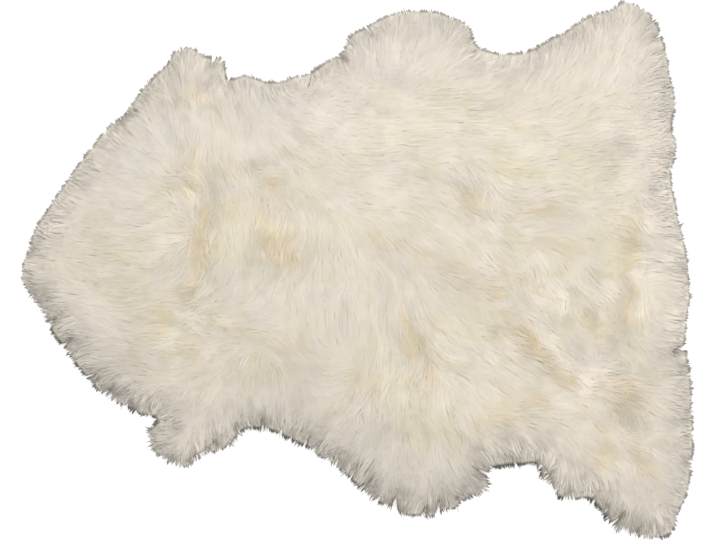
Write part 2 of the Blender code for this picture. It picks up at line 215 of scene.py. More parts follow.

# Where light and shade are painted on the fleece, brighter or duller than the rest, and where it is creamier or
# whiter: below 0 is duller, as painted shade, and whiter.
PAINTED_LIGHT_AND_TINGES = listed(
    "along across to_along to_across width bright cream",
    ("neck", (-0.86, 0.02, -0.64, -0.06, 0.04, -1.3, 0.3)),
    ("nape", (-0.6, 0.14, -0.62, -0.1, 0.03, -0.6, 0.2)),
    ("flank fold, left", (-0.46, -0.29, -0.17, -0.36, 0.034, -1.5, 0.2),
        (-0.12, -0.4, 0.02, -0.6, 0.042, -0.9, -0.3), (-0.05, -0.58, 0.0, -0.66, 0.022, -0.6)),
    ("belly fold, left", (0.04, -0.64, 0.28, -0.76, 0.045, -1.1, -0.3),
        (0.14, -0.74, 0.24, -0.82, 0.026, -0.8)),
    ("armpit fold, left", (-0.26, -0.46, -0.25, -0.55, 0.016, -0.8)),
    ("foreleg root, left", (-0.47, -0.45, -0.48, -0.55, 0.02, -0.6)),
    ("groin fold, left", (0.28, -0.6, 0.3, -0.72, 0.03, -0.7)),
    ("shoulder, left", (-0.52, -0.46, -0.2, -0.5, 0.03, -0.6)),
    ("shoulder hollow", (-0.31, -0.01, -0.16, -0.05, 0.032, -1.1)),
    ("cheek, left", (-0.78, -0.41, -0.7, -0.38, 0.025, -2.2),
        (-0.82, -0.1, -0.74, -0.24, 0.022, 0.0, -0.6)),
    ("foreleg toe, left", (-0.62, -0.63, -0.58, -0.64, 0.018, -2.0),
        (-0.61, -0.6, -0.6, -0.66, 0.01, -1.2)),
    ("belly rim, right", (0.04, 0.9, 0.28, 0.92, 0.028, -1.2), (0.24, 0.92, 0.3, 0.91, 0.014, -0.9)),
    ("belly, right", (0.2, 0.84, 0.24, 0.72, 0.025, -0.6)),
    ("groin, right", (0.34, 0.74, 0.42, 0.7, 0.02, -0.5, 0.3)),
    ("hind leg, right", (0.5, 0.66, 0.64, 0.62, 0.025, -0.5, 0.4),
        (0.74, 0.74, 0.82, 0.66, 0.026, 0.4, -0.9)),
    ("hind toe, right", (0.78, 0.92, 0.83, 0.96, 0.02, -0.8)),
    ("foreleg, right", (-0.52, 0.8, -0.54, 0.64, 0.022, -1.1)),
    ("neck, right", (-0.54, 0.58, -0.66, 0.46, 0.032, -0.7, -0.5),
        (-0.72, 0.34, -0.7, 0.2, 0.028, -0.6, -0.3)),
    ("armpit, right", (-0.34, 0.7, -0.24, 0.68, 0.014, -0.9)),
    ("shoulder, right", (-0.4, 0.6, -0.2, 0.58, 0.024, -0.7), (-0.32, 0.4, -0.27, 0.52, 0.028, 0.0, -1.1)),
    ("back, front", (-0.14, 0.44, -0.08, 0.3, 0.028, -0.7, 0.4), (-0.07, 0.33, -0.03, 0.31, 0.022, -0.5),
        (-0.01, 0.04, 0.0, 0.0, 0.018, -0.5)),
    ("shoulder blade", (-0.38, 0.36, -0.24, 0.33, 0.018, -0.7), (-0.26, 0.14, -0.24, 0.1, 0.02, 1.0, -0.8)),
    ("loin hollow", (0.28, -0.14, 0.36, -0.16, 0.026, -1.3, 0.3)),
    ("thigh hollow", (0.12, -0.42, 0.26, -0.38, 0.026, -0.6, 0.4)),
    ("back", (0.1, 0.26, 0.16, 0.14, 0.024, -0.5, 0.5), (0.2, 0.28, 0.24, 0.23, 0.022, -0.5)),
    ("haunch", (0.44, 0.05, 0.74, 0.04, 0.022, -0.6, 0.7)),
    ("thigh, left", (0.54, -0.5, 0.58, -0.55, 0.022, -0.6), (0.54, -0.36, 0.72, -0.6, 0.024, 0.6)),
    ("rump, left", (0.79, -0.36, 0.9, -0.34, 0.022, -1.1, 0.6)),
    ("hind leg hollow", (0.82, -0.75, 0.9, -0.82, 0.022, -1.1, -0.3)),
    ("hind leg front", (0.64, -0.71, 0.68, -0.7, 0.018, -0.6)),
    ("saddle, left", (0.1, -0.08, 0.16, -0.2, 0.022, -0.5), (0.06, -0.28, 0.09, -0.3, 0.018, -0.7, 0.4)),
    ("rump rim", (0.93, 0.5, 0.95, -0.2, 0.026, 1.3)),
    ("rump, right", (0.78, 0.5, 0.84, 0.43, 0.03, 1.1, -0.3)),
    ("rump parting", (0.8, -0.2, 0.86, -0.06, 0.026, 1.7, -0.2)),
    ("haunch, left", (0.6, -0.16, 0.68, -0.15, 0.022, 1.3), (0.56, -0.25, 0.58, -0.28, 0.016, -0.6),
        (0.6, -0.26, 0.72, -0.2, 0.02, 0.0, 0.9)),
    ("groin rim, left", (0.4, -0.66, 0.57, -0.69, 0.019, 2.1)),
    ("hind leg rim, left", (0.6, -0.78, 0.76, -0.88, 0.02, 1.8), (0.56, -0.72, 0.6, -0.8, 0.012, 1.4),
        (0.68, -0.78, 0.74, -0.77, 0.013, 1.2)),
    ("hind toe, left", (0.82, -0.97, 0.94, -0.94, 0.018, 1.7), (0.84, -0.95, 0.9, -0.94, 0.014, 0.9)),
    ("rump rim, left", (0.97, -0.6, 0.95, -0.84, 0.018, 1.0)),
    ("foreleg back, left", (-0.53, -0.7, -0.4, -0.64, 0.016, 2.0)),
    ("back curl", (0.32, 0.34, 0.46, 0.2, 0.02, 0.5, -0.2), (0.32, 0.34, 0.32, 0.26, 0.016, 0.0, -0.6)),
    ("loin, right", (0.32, 0.64, 0.52, 0.5, 0.024, 0.8)),
    ("shoulder blade, right", (-0.24, 0.46, -0.2, 0.38, 0.02, 0.8)),
    ("belly front, right", (-0.16, 0.64, 0.0, 0.44, 0.022, 0.6)),
    ("back, right", (0.02, 0.78, 0.14, 0.52, 0.03, 0.5), (-0.14, 0.6, -0.08, 0.52, 0.024, 0.0, -0.7)),
    ("saddle", (0.1, 0.03, 0.14, 0.0, 0.018, 0.7)),
    ("thigh", (0.28, -0.32, 0.34, -0.32, 0.022, 0.5), (0.1, -0.44, 0.12, -0.52, 0.026, 0.0, 0.7),
        (0.24, -0.28, 0.36, -0.2, 0.026, 0.0, 0.7), (0.72, -0.36, 0.78, -0.4, 0.022, 0.0, -1.4)),
    ("belly root, left", (0.06, -0.5, 0.16, -0.58, 0.022, 0.5, 0.3)),
    ("withers, right", (-0.47, 0.24, -0.45, 0.2, 0.016, 0.3, -1.0),
        (-0.5, 0.18, -0.48, 0.22, 0.018, 0.0, -0.7)),
    ("saddle, right", (-0.1, 0.15, -0.05, 0.14, 0.022, 1.0)),
    ("foreleg back, right", (-0.43, 0.71, -0.42, 0.68, 0.016, 1.0)),
    ("neck rim, left", (-0.9, -0.16, -0.86, -0.24, 0.014, 0.7)),
    ("foreleg front, left", (-0.71, -0.48, -0.62, -0.53, 0.012, 0.8)),
    ("withers", (-0.4, 0.05, -0.36, 0.18, 0.034, 0.0, 1.0), (-0.44, 0.3, -0.4, 0.26, 0.02, 0.0, 0.6),
        (-0.28, -0.01, -0.23, -0.06, 0.018, -0.6)),
    ("rump", (0.74, 0.35, 0.78, 0.0, 0.026, 0.0, 0.6), (0.77, -0.21, 0.81, -0.16, 0.018, 0.9),
        (0.63, -0.18, 0.66, -0.15, 0.018, 0.7)),
    ("belly, left", (0.22, -0.58, 0.28, -0.62, 0.03, 0.0, 1.0), (0.18, -0.8, 0.24, -0.83, 0.018, -1.0)),
    ("neck, left", (-0.6, -0.27, -0.54, -0.29, 0.026, 0.0, 0.6)),
    ("flank, left", (-0.16, -0.39, -0.08, -0.38, 0.02, 0.0, 0.6)),
    ("haunch, right", (0.48, 0.38, 0.64, 0.34, 0.03, 0.0, 0.5)),
    ("cheek, right", (-0.68, 0.32, -0.54, 0.48, 0.03, 0.0, -0.9)),
    ("hind leg, left", (0.86, -0.68, 0.9, -0.76, 0.02, 0.0, -0.9)),
    ("cheek rim, left", (-0.77, -0.41, -0.75, -0.44, 0.014, -2.0)),
    ("flank rim, right", (-0.38, 0.69, -0.28, 0.68, 0.012, -0.9)),
)

# Where the tips of the wool reach past the solid's rim, or fall short of it: how far, and over what width.
REACHES = listed(
    "along across past width",
    ("neck", (-0.96, 0.15, 0.0035, 0.015)),
    ("neck, left", (-0.97, -0.12, -0.003, 0.018), (-0.9, -0.24, 0.0025, 0.014),
        (-0.86, -0.32, 0.0025, 0.01)),
    ("cheek, left", (-0.79, -0.42, -0.0035, 0.01), (-0.77, -0.46, 0.005, 0.012),
        (-0.72, -0.49, 0.0045, 0.012)),
    ("foreleg front, left", (-0.65, -0.53, 0.007, 0.014)),
    ("foreleg toe, left", (-0.62, -0.62, 0.008, 0.015), (-0.57, -0.72, 0.0025, 0.016)),
    ("foreleg back, left", (-0.45, -0.69, -0.009, 0.013), (-0.41, -0.68, 0.0045, 0.009)),
    ("armpit, left", (-0.38, -0.65, 0.0045, 0.012), (-0.34, -0.6, -0.0025, 0.009)),
    ("flank, left", (-0.26, -0.61, -0.003, 0.013), (-0.19, -0.65, 0.0025, 0.01),
        (-0.16, -0.66, -0.004, 0.008), (-0.08, -0.73, -0.005, 0.013), (-0.03, -0.77, -0.005, 0.014)),
    ("belly front, left", (0.03, -0.84, 0.0045, 0.009)),
    ("belly, left", (0.1, -0.89, -0.004, 0.007), (0.13, -0.91, 0.003, 0.012), (0.18, -0.91, -0.004, 0.011),
        (0.25, -0.89, -0.0035, 0.008)),
    ("belly tip, left", (0.21, -0.92, 0.0065, 0.009)),
    ("belly back, left", (0.29, -0.88, 0.0035, 0.009), (0.32, -0.86, -0.0045, 0.009)),
    ("belly corner, left", (0.38, -0.82, 0.009, 0.014)),
    ("groin, left", (0.39, -0.76, -0.008, 0.01), (0.44, -0.74, 0.0045, 0.014), (0.48, -0.73, 0.005, 0.012),
        (0.53, -0.74, -0.0085, 0.01)),
    ("hind leg front, left", (0.54, -0.78, 0.004, 0.008), (0.57, -0.82, -0.0035, 0.012)),
    ("hind leg, left", (0.71, -0.88, 0.005, 0.01)),
    ("hind toe front, left", (0.74, -0.92, 0.0035, 0.008), (0.76, -0.96, 0.0075, 0.013)),
    ("hind toe, left", (0.92, -0.98, 0.008, 0.018)),
    ("rump corner, left", (0.96, -0.89, -0.0045, 0.016)),
    ("rump, left", (0.99, -0.72, 0.0025, 0.01), (1.0, -0.6, -0.0025, 0.028), (0.99, -0.51, -0.003, 0.012),
        (0.98, -0.38, 0.003, 0.008), (0.98, -0.33, 0.0045, 0.009), (0.98, -0.16, -0.003, 0.014)),
    ("rump", (0.99, -0.05, -0.0025, 0.018)),
    ("rump, right", (0.96, 0.2, -0.0025, 0.012), (0.94, 0.52, -0.0025, 0.01)),
    ("rump corner, right", (0.94, 0.61, 0.003, 0.014)),
    ("hind leg back, right", (0.93, 0.73, -0.0025, 0.016)),
    ("hind toe, right", (0.83, 0.99, -0.0025, 0.01), (0.79, 1.0, 0.0035, 0.008),
        (0.75, 0.98, -0.0055, 0.013)),
    ("hind leg, right", (0.67, 0.94, 0.003, 0.012), (0.61, 0.89, -0.003, 0.013)),
    ("belly lobe, right", (0.35, 0.86, -0.0025, 0.01), (0.28, 0.94, -0.0025, 0.01),
        (0.19, 0.97, -0.003, 0.014), (-0.02, 0.88, 0.003, 0.01)),
    ("flank, right", (-0.05, 0.82, -0.007, 0.012), (-0.14, 0.74, -0.0045, 0.014),
        (-0.2, 0.72, 0.0025, 0.011)),
    ("armpit, right", (-0.28, 0.71, -0.003, 0.011), (-0.37, 0.72, -0.003, 0.009)),
    ("foreleg toe, right", (-0.4, 0.78, 0.008, 0.01), (-0.43, 0.79, 0.0035, 0.009),
        (-0.47, 0.81, 0.0025, 0.009)),
    ("foreleg front, right", (-0.57, 0.77, -0.0025, 0.01), (-0.6, 0.73, 0.0025, 0.01)),
    ("cheek, right", (-0.64, 0.68, 0.0045, 0.012), (-0.7, 0.59, -0.0085, 0.014),
        (-0.76, 0.51, 0.0025, 0.011)),
)

# Where the wool of the rim parts: from the mouth to the inner end, how wide the mouth, and how dark it lies.
PARTINGS = listed(
    "along across to_along to_across width shade",
    ("neck, left", (-0.925, -0.208, -0.88, -0.167, 0.003, 0.6),
        (-0.88, -0.287, -0.827, -0.231, 0.004, 0.9)),
    ("cheek, left", (-0.812, -0.402, -0.761, -0.372, 0.003, 0.9),
        (-0.77, -0.476, -0.714, -0.428, 0.002, 0.7), (-0.731, -0.491, -0.684, -0.447, 0.002, 0.6),
        (-0.663, -0.517, -0.675, -0.476, 0.003, 0.9)),
    ("foreleg front, left", (-0.639, -0.562, -0.589, -0.551, 0.006, 0.9)),
    ("foreleg toe, left", (-0.556, -0.737, -0.535, -0.7, 0.003, 0.8),
        (-0.479, -0.722, -0.473, -0.677, 0.003, 0.7)),
    ("foreleg back, left", (-0.452, -0.67, -0.407, -0.629, 0.003, 0.9),
        (-0.393, -0.67, -0.375, -0.633, 0.003, 0.8)),
    ("armpit, left", (-0.351, -0.607, -0.357, -0.558, 0.003, 0.8),
        (-0.282, -0.592, -0.28, -0.528, 0.002, 0.9)),
    ("flank, left", (-0.202, -0.636, -0.187, -0.588, 0.002, 0.6),
        (-0.158, -0.648, -0.14, -0.584, 0.003, 0.9), (-0.071, -0.737, -0.051, -0.677, 0.003, 0.6)),
    ("belly fan, left", (-0.015, -0.752, 0.006, -0.696, 0.0015, 0.8)),
    ("belly, left", (0.021, -0.849, 0.012, -0.782, 0.004, 0.9)),
    ("belly fan, left", (0.024, -0.789, 0.051, -0.744, 0.0015, 0.6)),
    ("belly, left", (0.054, -0.863, 0.065, -0.834, 0.005, 0.8), (0.107, -0.916, 0.11, -0.826, 0.009, 1.0),
        (0.193, -0.908, 0.205, -0.856, 0.004, 0.9), (0.238, -0.889, 0.241, -0.826, 0.005, 0.9),
        (0.312, -0.867, 0.288, -0.819, 0.004, 0.8), (0.357, -0.852, 0.327, -0.826, 0.002, 0.6)),
    ("groin, left", (0.378, -0.752, 0.339, -0.722, 0.004, 0.9),
        (0.476, -0.737, 0.455, -0.696, 0.003, 0.8), (0.544, -0.733, 0.529, -0.7, 0.005, 0.9)),
    ("hind leg, left", (0.577, -0.819, 0.568, -0.774, 0.003, 0.8),
        (0.636, -0.837, 0.616, -0.782, 0.0015, 0.6), (0.702, -0.849, 0.711, -0.811, 0.003, 0.7),
        (0.74, -0.927, 0.731, -0.849, 0.004, 1.0)),
    ("hind toe, left", (0.755, -0.938, 0.788, -0.886, 0.004, 1.0),
        (0.815, -0.99, 0.833, -0.93, 0.002, 0.7), (0.839, -0.986, 0.874, -0.901, 0.0015, 0.5)),
    ("rump, left", (0.987, -0.711, 0.946, -0.685, 0.003, 0.6), (0.99, -0.555, 0.91, -0.543, 0.0015, 0.6),
        (0.984, -0.35, 0.94, -0.354, 0.002, 0.6), (0.969, -0.287, 0.916, -0.305, 0.007, 1.0)),
    ("rump", (0.975, -0.007, 0.946, 0.022, 0.0015, 0.5)),
    ("rump, right", (0.934, 0.365, 0.907, 0.387, 0.004, 0.5), (0.934, 0.506, 0.898, 0.521, 0.004, 0.7)),
    ("hind leg, right", (0.919, 0.681, 0.886, 0.663, 0.0015, 0.5),
        (0.895, 0.871, 0.862, 0.841, 0.002, 0.5)),
    ("belly, right", (0.027, 0.893, 0.045, 0.856, 0.003, 0.6)),
    ("flank, right", (-0.059, 0.793, -0.024, 0.767, 0.003, 0.8)),
    ("foreleg, right", (-0.381, 0.722, -0.39, 0.67, 0.004, 0.5)),
    ("foreleg toe, right", (-0.428, 0.789, -0.431, 0.744, 0.005, 0.5)),
    ("neck, right", (-0.639, 0.651, -0.613, 0.622, 0.002, 0.6),
        (-0.678, 0.569, -0.651, 0.588, 0.003, 0.9)),
)
PARTING_END = 0.006  # how far beyond a parting's ends its shade fades away
PARTING_HOLD = 0.0045  # how far to its sides a parting crowds the wool
PARTING_SHADES = ((0.0022, 0.65), (0.0070, 0.35))  # how far into that wool its shade reaches, and how dark


# ---- The pelt, as fields over the floor


def smoothed(values, passes):
    """Values on the grid, each averaged with its neighbours, as many times as there are passes."""
    for _ in range(passes):
        for axis in (0, 1):
            padded = np.concatenate((values.take([0], axis), values, values.take([-1], axis)), axis)
            size = values.shape[axis]
            low, middle, high = (padded.take(range(k, k + size), axis) for k in range(3))
            values = (low + 2 * middle + high) / 4
    return values


def faded(distance, reach):
    """1 at a distance of 0, about a third at the reach, and next to nothing at twice the reach."""
    return np.exp(-((distance / reach) ** 2))


def gap_to(points, start, run):
    """How far points are from a straight line that runs from its start."""
    share = np.clip(((points - start) * run).sum(-1) / np.maximum((run * run).sum(-1), TINY), 0, 1)
    return np.linalg.norm(points - start - share[..., None] * run, axis=-1)


def unit(vectors):
    """Vectors brought to a length of 1."""
    return vectors / np.maximum(np.linalg.norm(vectors, axis=-1, keepdims=True), TINY)


def quarter_turn(vectors):
    """Flat vectors turned a quarter to the left."""
    return np.stack((-vectors[..., 1], vectors[..., 0]), -1)


def doubled(vectors):
    """Flat vectors at twice their angle, so that opposite ones agree."""
    x, y = vectors[..., 0], vectors[..., 1]
    return np.stack((x * x - y * y, 2 * x * y), -1)


def halved(vectors):
    """Flat vectors at half their angle: one of the two ways along a doubled direction."""
    angle = np.arctan2(vectors[..., 1], vectors[..., 0]) / 2
    return np.stack((np.cos(angle), np.sin(angle)), -1)


def turned(vectors, angle):
    """Flat vectors turned to the left by an angle each."""
    return vectors * np.cos(angle)[..., None] + quarter_turn(vectors) * np.sin(angle)[..., None]


class Pelt:
    """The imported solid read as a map: its height, its rim, and the lie of the wool on it."""

    def __init__(self, solid):
        mesh = solid.data
        self.places = np.array([solid.matrix_world @ v.co for v in mesh.vertices])
        self.low = self.places.min(0)[:2] - GRID_MARGIN
        self.high = self.places.max(0)[:2] + GRID_MARGIN
        self.half = (self.places.max(0) - self.places.min(0))[:2] / 2
        xs = np.arange(self.low[0], self.high[0], GRID_STEP)
        ys = np.arange(self.low[1], self.high[1], GRID_STEP)
        self.shape = (len(ys), len(xs))
        self.grid = np.stack(np.meshgrid(xs, ys), -1).reshape(-1, 2)
        triangles = [tuple(p.vertices) for p in mesh.polygons]
        self.starts, self.ends = self.rim_segments(triangles)
        inset = self.inset_of(self.grid).reshape(self.shape)
        for row in REACHES:
            gap = np.linalg.norm(self.grid - self.place_of(row.along, row.across), axis=1)
            inset += row.past * faded(gap, row.width).reshape(self.shape)
        self.inset = smoothed(inset[..., None], 2)
        slope = np.gradient(smoothed(inset, 6), GRID_STEP)
        self.outward = -unit(np.stack((slope[1], slope[0]), -1))
        wild_shaded_side = WILD - WILDER_LEFT * self.outward[..., 1] - WILDER_FRONT * self.outward[..., 0]
        self.wild_shaded_side = smoothed(np.clip(wild_shaded_side, LEAST_WILD, 1), 6)[..., None]
        self.height = self.solid_height(triangles)
        drift = [self.rolling(DRIFT_REACH, seed) for seed in DRIFT_SEEDS]
        self.drift = np.concatenate(drift, -1) * STAIN_DRIFT
        self.ruffle = np.clip(self.felt(RUFFLES, self.grid), 0, 1).reshape(*self.shape, 1)
        self.streak = self.rolling(STREAK, STREAK_SEED)
        self.painted_light_and_tinges = self.felt(PAINTED_LIGHT_AND_TINGES, self.grid, ("bright", "cream")).reshape(*self.shape, 2)
        self.lie, self.away, self.settled = self.combed_lie()

    def place_of(self, along, across):
        """The place at shares of the pelt's half length and half width."""
        return np.array((along, across)) * self.half

    def rim_segments(self, triangles):
        """The straight pieces of the rim: the edges that only one triangle of the flat underside has."""
        corner = np.round(self.places, 6)
        seen = {}
        for triangle in triangles:
            if all(corner[i, 2] < UNDERSIDE for i in triangle):
                places = [(corner[i, 0], corner[i, 1]) for i in triangle]
                for a, b in zip(places, places[1:] + places[:1]):
                    key = tuple(sorted((a, b)))
                    seen[key] = seen.get(key, 0) + 1
        rim = np.array([key for key, count in seen.items() if count == 1])
        return rim[:, 0], rim[:, 1]

    def inset_of(self, points):
        """How far in from the rim each point lies, and below 0 outside it."""
        found = []
        start, run = self.starts, self.ends - self.starts
        rise = np.where(run[:, 1] == 0, 1.0, run[:, 1])
        for part in np.array_split(points, max(1, len(points) // AT_ONCE)):
            x, y = part[:, 0, None], part[:, 1, None]
            distance = gap_to(part[:, None], start, run).min(1)
            spans = (start[:, 1] > y) != (self.ends[:, 1] > y)
            crossing = start[:, 0] + (y - start[:, 1]) * run[:, 0] / rise
            within = (spans & (x < crossing)).sum(1) % 2
            found.append(np.where(within == 1, distance, -distance))
        return np.concatenate(found)

    def solid_height(self, triangles):
        """Height of the solid's top over the grid, with its facets smoothed away and 0 outside the rim."""
        tree = BVHTree.FromPolygons([Vector(p) for p in self.places], triangles)
        above = self.places[:, 2].max() + 0.1
        down = Vector((0, 0, -1))
        hits = [tree.ray_cast(Vector((x, y, above)), down)[0] for x, y in self.grid]
        height = np.array([0.0 if hit is None else hit.z for hit in hits])
        return smoothed(height.reshape(self.shape), 3)[..., None]

    def rolling(self, reach, seed):
        """A number that rolls up and down over the grid, about 1 either way, with swells of a reach."""
        values = np.random.default_rng(seed).normal(0, 1, (*self.shape, 1))
        values = smoothed(values, round((reach / GRID_STEP) ** 2))
        return values / values.std()

    def felt(self, rows, points, fields=("strength",), spread=1.0):
        """How strongly the fields of a table's rows are felt at points, with edges that wander."""
        points = points + self.at(self.drift, points)
        found = np.zeros((len(points), len(fields)))
        for row in rows:
            start = self.place_of(row.along, row.across)
            run = self.place_of(row.to_along, row.to_across) - start
            near = faded(gap_to(points, start, run), spread * row.width)
            found += near[:, None] * [getattr(row, field) for field in fields]
        return found

    def combed_lie(self):
        """The lie of the wool as a doubled direction, the way that its tips point, and how settled it is."""
        ends = np.array([row[1:] for row in STROKES]).reshape(-1, 2, 2) * self.half
        start, run = ends[:, 0], ends[:, 1] - ends[:, 0]
        gap = gap_to(self.grid[:, None], start, run)
        pull = np.exp(-((gap / STROKE_REACH) ** 2) / 2) + 1e-4 * np.exp(-gap / (2 * STROKE_REACH))
        pull /= pull.sum(1, keepdims=True)
        way = unit(run)
        lie = (pull @ doubled(way)).reshape(*self.shape, 2)
        away = (pull @ way).reshape(*self.shape, 2)
        near_rim = faded(np.maximum(self.inset, 0), RIM_REACH)
        waves = sum(share * self.rolling(reach, seed) for seed, (reach, share) in enumerate(WAVES))
        waves = waves * (0.35 + self.ruffle) * (1 - 0.8 * near_rim)
        lie = turned(unit(lie), 2 * waves[..., 0])
        heading = halved(lie)
        heading = heading * np.where((heading * away).sum(-1, keepdims=True) < 0, -1, 1)
        heading = unit(heading * (1 - RIM_COMBED * near_rim) + self.outward * RIM_COMBED * near_rim)
        lie = doubled(heading)
        away = away * (1 - near_rim) + self.outward * near_rim
        passes = round((MINGLING / GRID_STEP) ** 2 / 4)
        settled = np.linalg.norm(smoothed(heading, passes), axis=-1, keepdims=True)
        return lie, away, settled

    def at(self, field, points):
        """A field's values at points, between those of the grid."""
        last = np.array(self.shape[::-1]) - 1
        place = np.clip((points - self.low) / GRID_STEP, 0, last - INSIDE_CELL)
        cell = place.astype(int)
        part = place - cell
        x, y = cell[..., 0], cell[..., 1]
        u, v = part[..., 0, None], part[..., 1, None]
        low = field[y, x] * (1 - u) + field[y, x + 1] * u
        high = field[y + 1, x] * (1 - u) + field[y + 1, x + 1] * u
        return low * (1 - v) + high * v

    def inset_at(self, points):
        """How far in from the rim points lie, read off the grid."""
        return self.at(self.inset, points)[..., 0]

    def height_at(self, points):
        """Height of the fleece at points, read off the grid."""
        return self.at(self.height, points)[..., 0]

    def bed_at(self, points, sizes):
        """Height of the underwool, which carries the locks and falls to the floor short of the rim."""
        edge = np.clip((self.inset_at(points) - sizes.underwool_inset) / BED_EDGE, 0, 1)
        return np.maximum(self.height_at(points) - sizes.wool_depth, 0) * np.sqrt(edge)

    def run_at(self, points):
        """The run of the wool at points, as flat unit vectors that may point either way along it."""
        return halved(self.at(self.lie, points))

    def facing(self):
        """The upward normal of the lie of the fleece, on the grid."""
        slope = np.gradient(smoothed(self.height[..., 0], 2), GRID_STEP)
        relief = RIM_RELIEF + (RELIEF - RIM_RELIEF) * np.clip(self.inset[..., 0] / RELIEF_REACH, 0, 1)
        return unit(np.stack((-slope[1], -slope[0], 1 / relief), -1))


def parted(pelt, points):
    """Strands moved clear of the partings in the rim, and how deep in the shade of one their points lie."""
    shade = np.zeros(points.shape[:-1])
    for row in PARTINGS:
        mouth = pelt.place_of(row.along, row.across)
        run = pelt.place_of(row.to_along, row.to_across) - mouth
        length = np.linalg.norm(run)
        share = (points - mouth) @ run / length**2
        aside = (points - mouth) @ quarter_turn(run) / length
        within = (share > -1) & (share < 1)
        gap = row.width / 2 * np.sqrt(np.clip(1 - share, 0, 1.5))
        side = np.where(aside[:, -2:-1] < 0, -1, 1)
        near = aside * side
        crowded = gap + np.maximum(near, 0) * PARTING_HOLD / (gap + PARTING_HOLD)
        within &= np.abs(near) < gap + PARTING_HOLD
        pushed = np.where(within, crowded, near)
        shift = (pushed - near) * side
        points = points + shift[..., None] * quarter_turn(run) / length
        dark = sum(depth * faded(pushed - gap, reach) for reach, depth in PARTING_SHADES)
        beyond = np.abs(share - np.clip(share, -1, 0.7)) * length
        shade = np.maximum(shade, row.shade * dark * faded(beyond, PARTING_END))
    return points, shade


ROW_STEP = 0.866  # between the rows of an even triangular pattern, in steps along a row
JITTER = 0.42  # how far a place is moved off the pattern, in the same steps


def scattered(pelt, spacing, least_inset, rng):
    """Places about a spacing apart over the pelt, no nearer the rim than the least inset."""
    xs = np.arange(pelt.low[0], pelt.high[0], spacing)
    ys = np.arange(pelt.low[1], pelt.high[1], spacing * ROW_STEP)
    x, y = np.meshgrid(xs, ys)
    x = x + spacing / 2 * (np.arange(len(ys))[:, None] % 2)
    places = np.stack((x, y), -1).reshape(-1, 2)
    places += rng.uniform(-JITTER, JITTER, places.shape) * spacing
    return places[pelt.inset_at(places) > least_inset]


def nearest(points, centres):
    """For each point, the number of the nearest centre."""
    found = []
    for part in np.array_split(points, max(1, len(points) // AT_ONCE)):
        gap = ((part[:, None] - centres) ** 2).sum(-1)
        found.append(gap.argmin(1))
    return np.concatenate(found)


# ---- Locks and strands of wool

ROOT_SHARE = 0.45  # of a lock's length, from its root to the place that it is set out from
ROOT_INSET = 0.012  # how far in from the rim a lock has its root, unless it is set out from nearer
BIG_STRAY, TRESS_STRAY = 0.24, 0.26  # how far a big lock turns off the lie, alone and with its tress
BIG_BEND = 0.14  # how far it turns on along its length
LOCK_STRAY, LOCK_BEND = 0.14, 0.09  # how far a small lock does the same in its big lock
DEPTHS = (0.7, 2.0)  # the two powers of the beta law by which few locks lie deep
UNDER_FROM = 0.35  # the depth from which a lock counts as lying under the others
FRINGE_SPACING = 1.15  # of the second set of locks, near the rim, in widths of a lock
LENGTHS = (0.75, 1.15)  # of the locks, from the shortest to the longest, of the length that is asked for
FLECKS = (0.3, 0.9)  # how strongly the faintest and the strongest flecked lock is stained
FLECKED = (0.015, 0.11)  # the share of locks that are flecked, and how much more of the ruffled ones
TUFT_REACH = 0.022  # how far in from the rim a tip may lie to be drawn into a tuft
Tuft = namedtuple("Tuft", "spacing drawn notch unevenness")
BROAD_TUFT = Tuft(0.026, 0.30, 0.0044, 0.0026)
POINTED_TUFT = Tuft(0.0080, 0.62, 0.0022, 0.0022)
OVERHANG = 0.0026  # how far the tips of the tufts stand past the rim
UNDER_SPARE = (-0.001, 0.004)  # how far short of the rim the tips of the locks that lie under end
TIP_SPARE = (-0.0004, 0.001)  # how much farther short of it any tip ends
TRIMMED = (0.15, 1.25)  # the shortest and the longest that a lock becomes there, of its own length
STRETCH_REACH = 0.008  # how far in from the rim a tip may lie for its lock to be lengthened
WISP = 2  # strands that lie side by side, as one wisp
STEPS = 3  # straight pieces in a strand
ALONG = np.array((0, 0.38, 0.84, 1.0))  # where on a strand they start and end
RISE = np.array((0.0, 0.80, 1.0, 0.82))  # how high it lies there, of the wool's depth over the underwool
TAPER = np.array((0.8, 1.0, 0.85, 0.0))  # how wide it is there, of its widest
WIDTHS = (0.6, 1.3)  # of the strands, from the thinnest to the thickest, of the width that is asked for
LOCK_SPREAD = 1.35  # how far from a lock's middle its strands may lie, in widths of a lock
TUFT_DRAWING = 0.70  # how much nearer they lie in a tuft
WISP_STRAY = 0.0016  # how far the tip of a wisp strays from its place in the lock
STRAND_STRAY = 0.0005  # how far the tip of a strand strays from its wisp
FLYAWAYS = 0.02  # the share of strands that leave their wisp
FLYAWAY_STRAY = 0.005  # how far their tips stray
FLYAWAY_LIFT = 0.0025  # how far their tips stand off the fleece, at most
RIM_LIE = 0.03  # how far in from the rim strands lie and are coloured as the rim's are
SHOULDER = 0.06  # how far in from the rim locks come to lie higher and lower than each other
DROOP_REACH = 0.012  # how far in from the rim strands start to droop
DROOP = 0.35  # how much of their height they lose
LOWEST = 0.0012  # how high over the floor the lowest strand lies
LOWEST_SPREAD = 0.0016  # how much higher the others are held there
EDGE_LEAN = 0.04  # how far the two edges of a strand take the light apart


def with_run(pelt, points, heading):
    """The run of the wool at points, the way that is nearer the heading."""
    run = pelt.run_at(points)
    return run * np.where((run * heading).sum(1) < 0, -1, 1)[:, None]


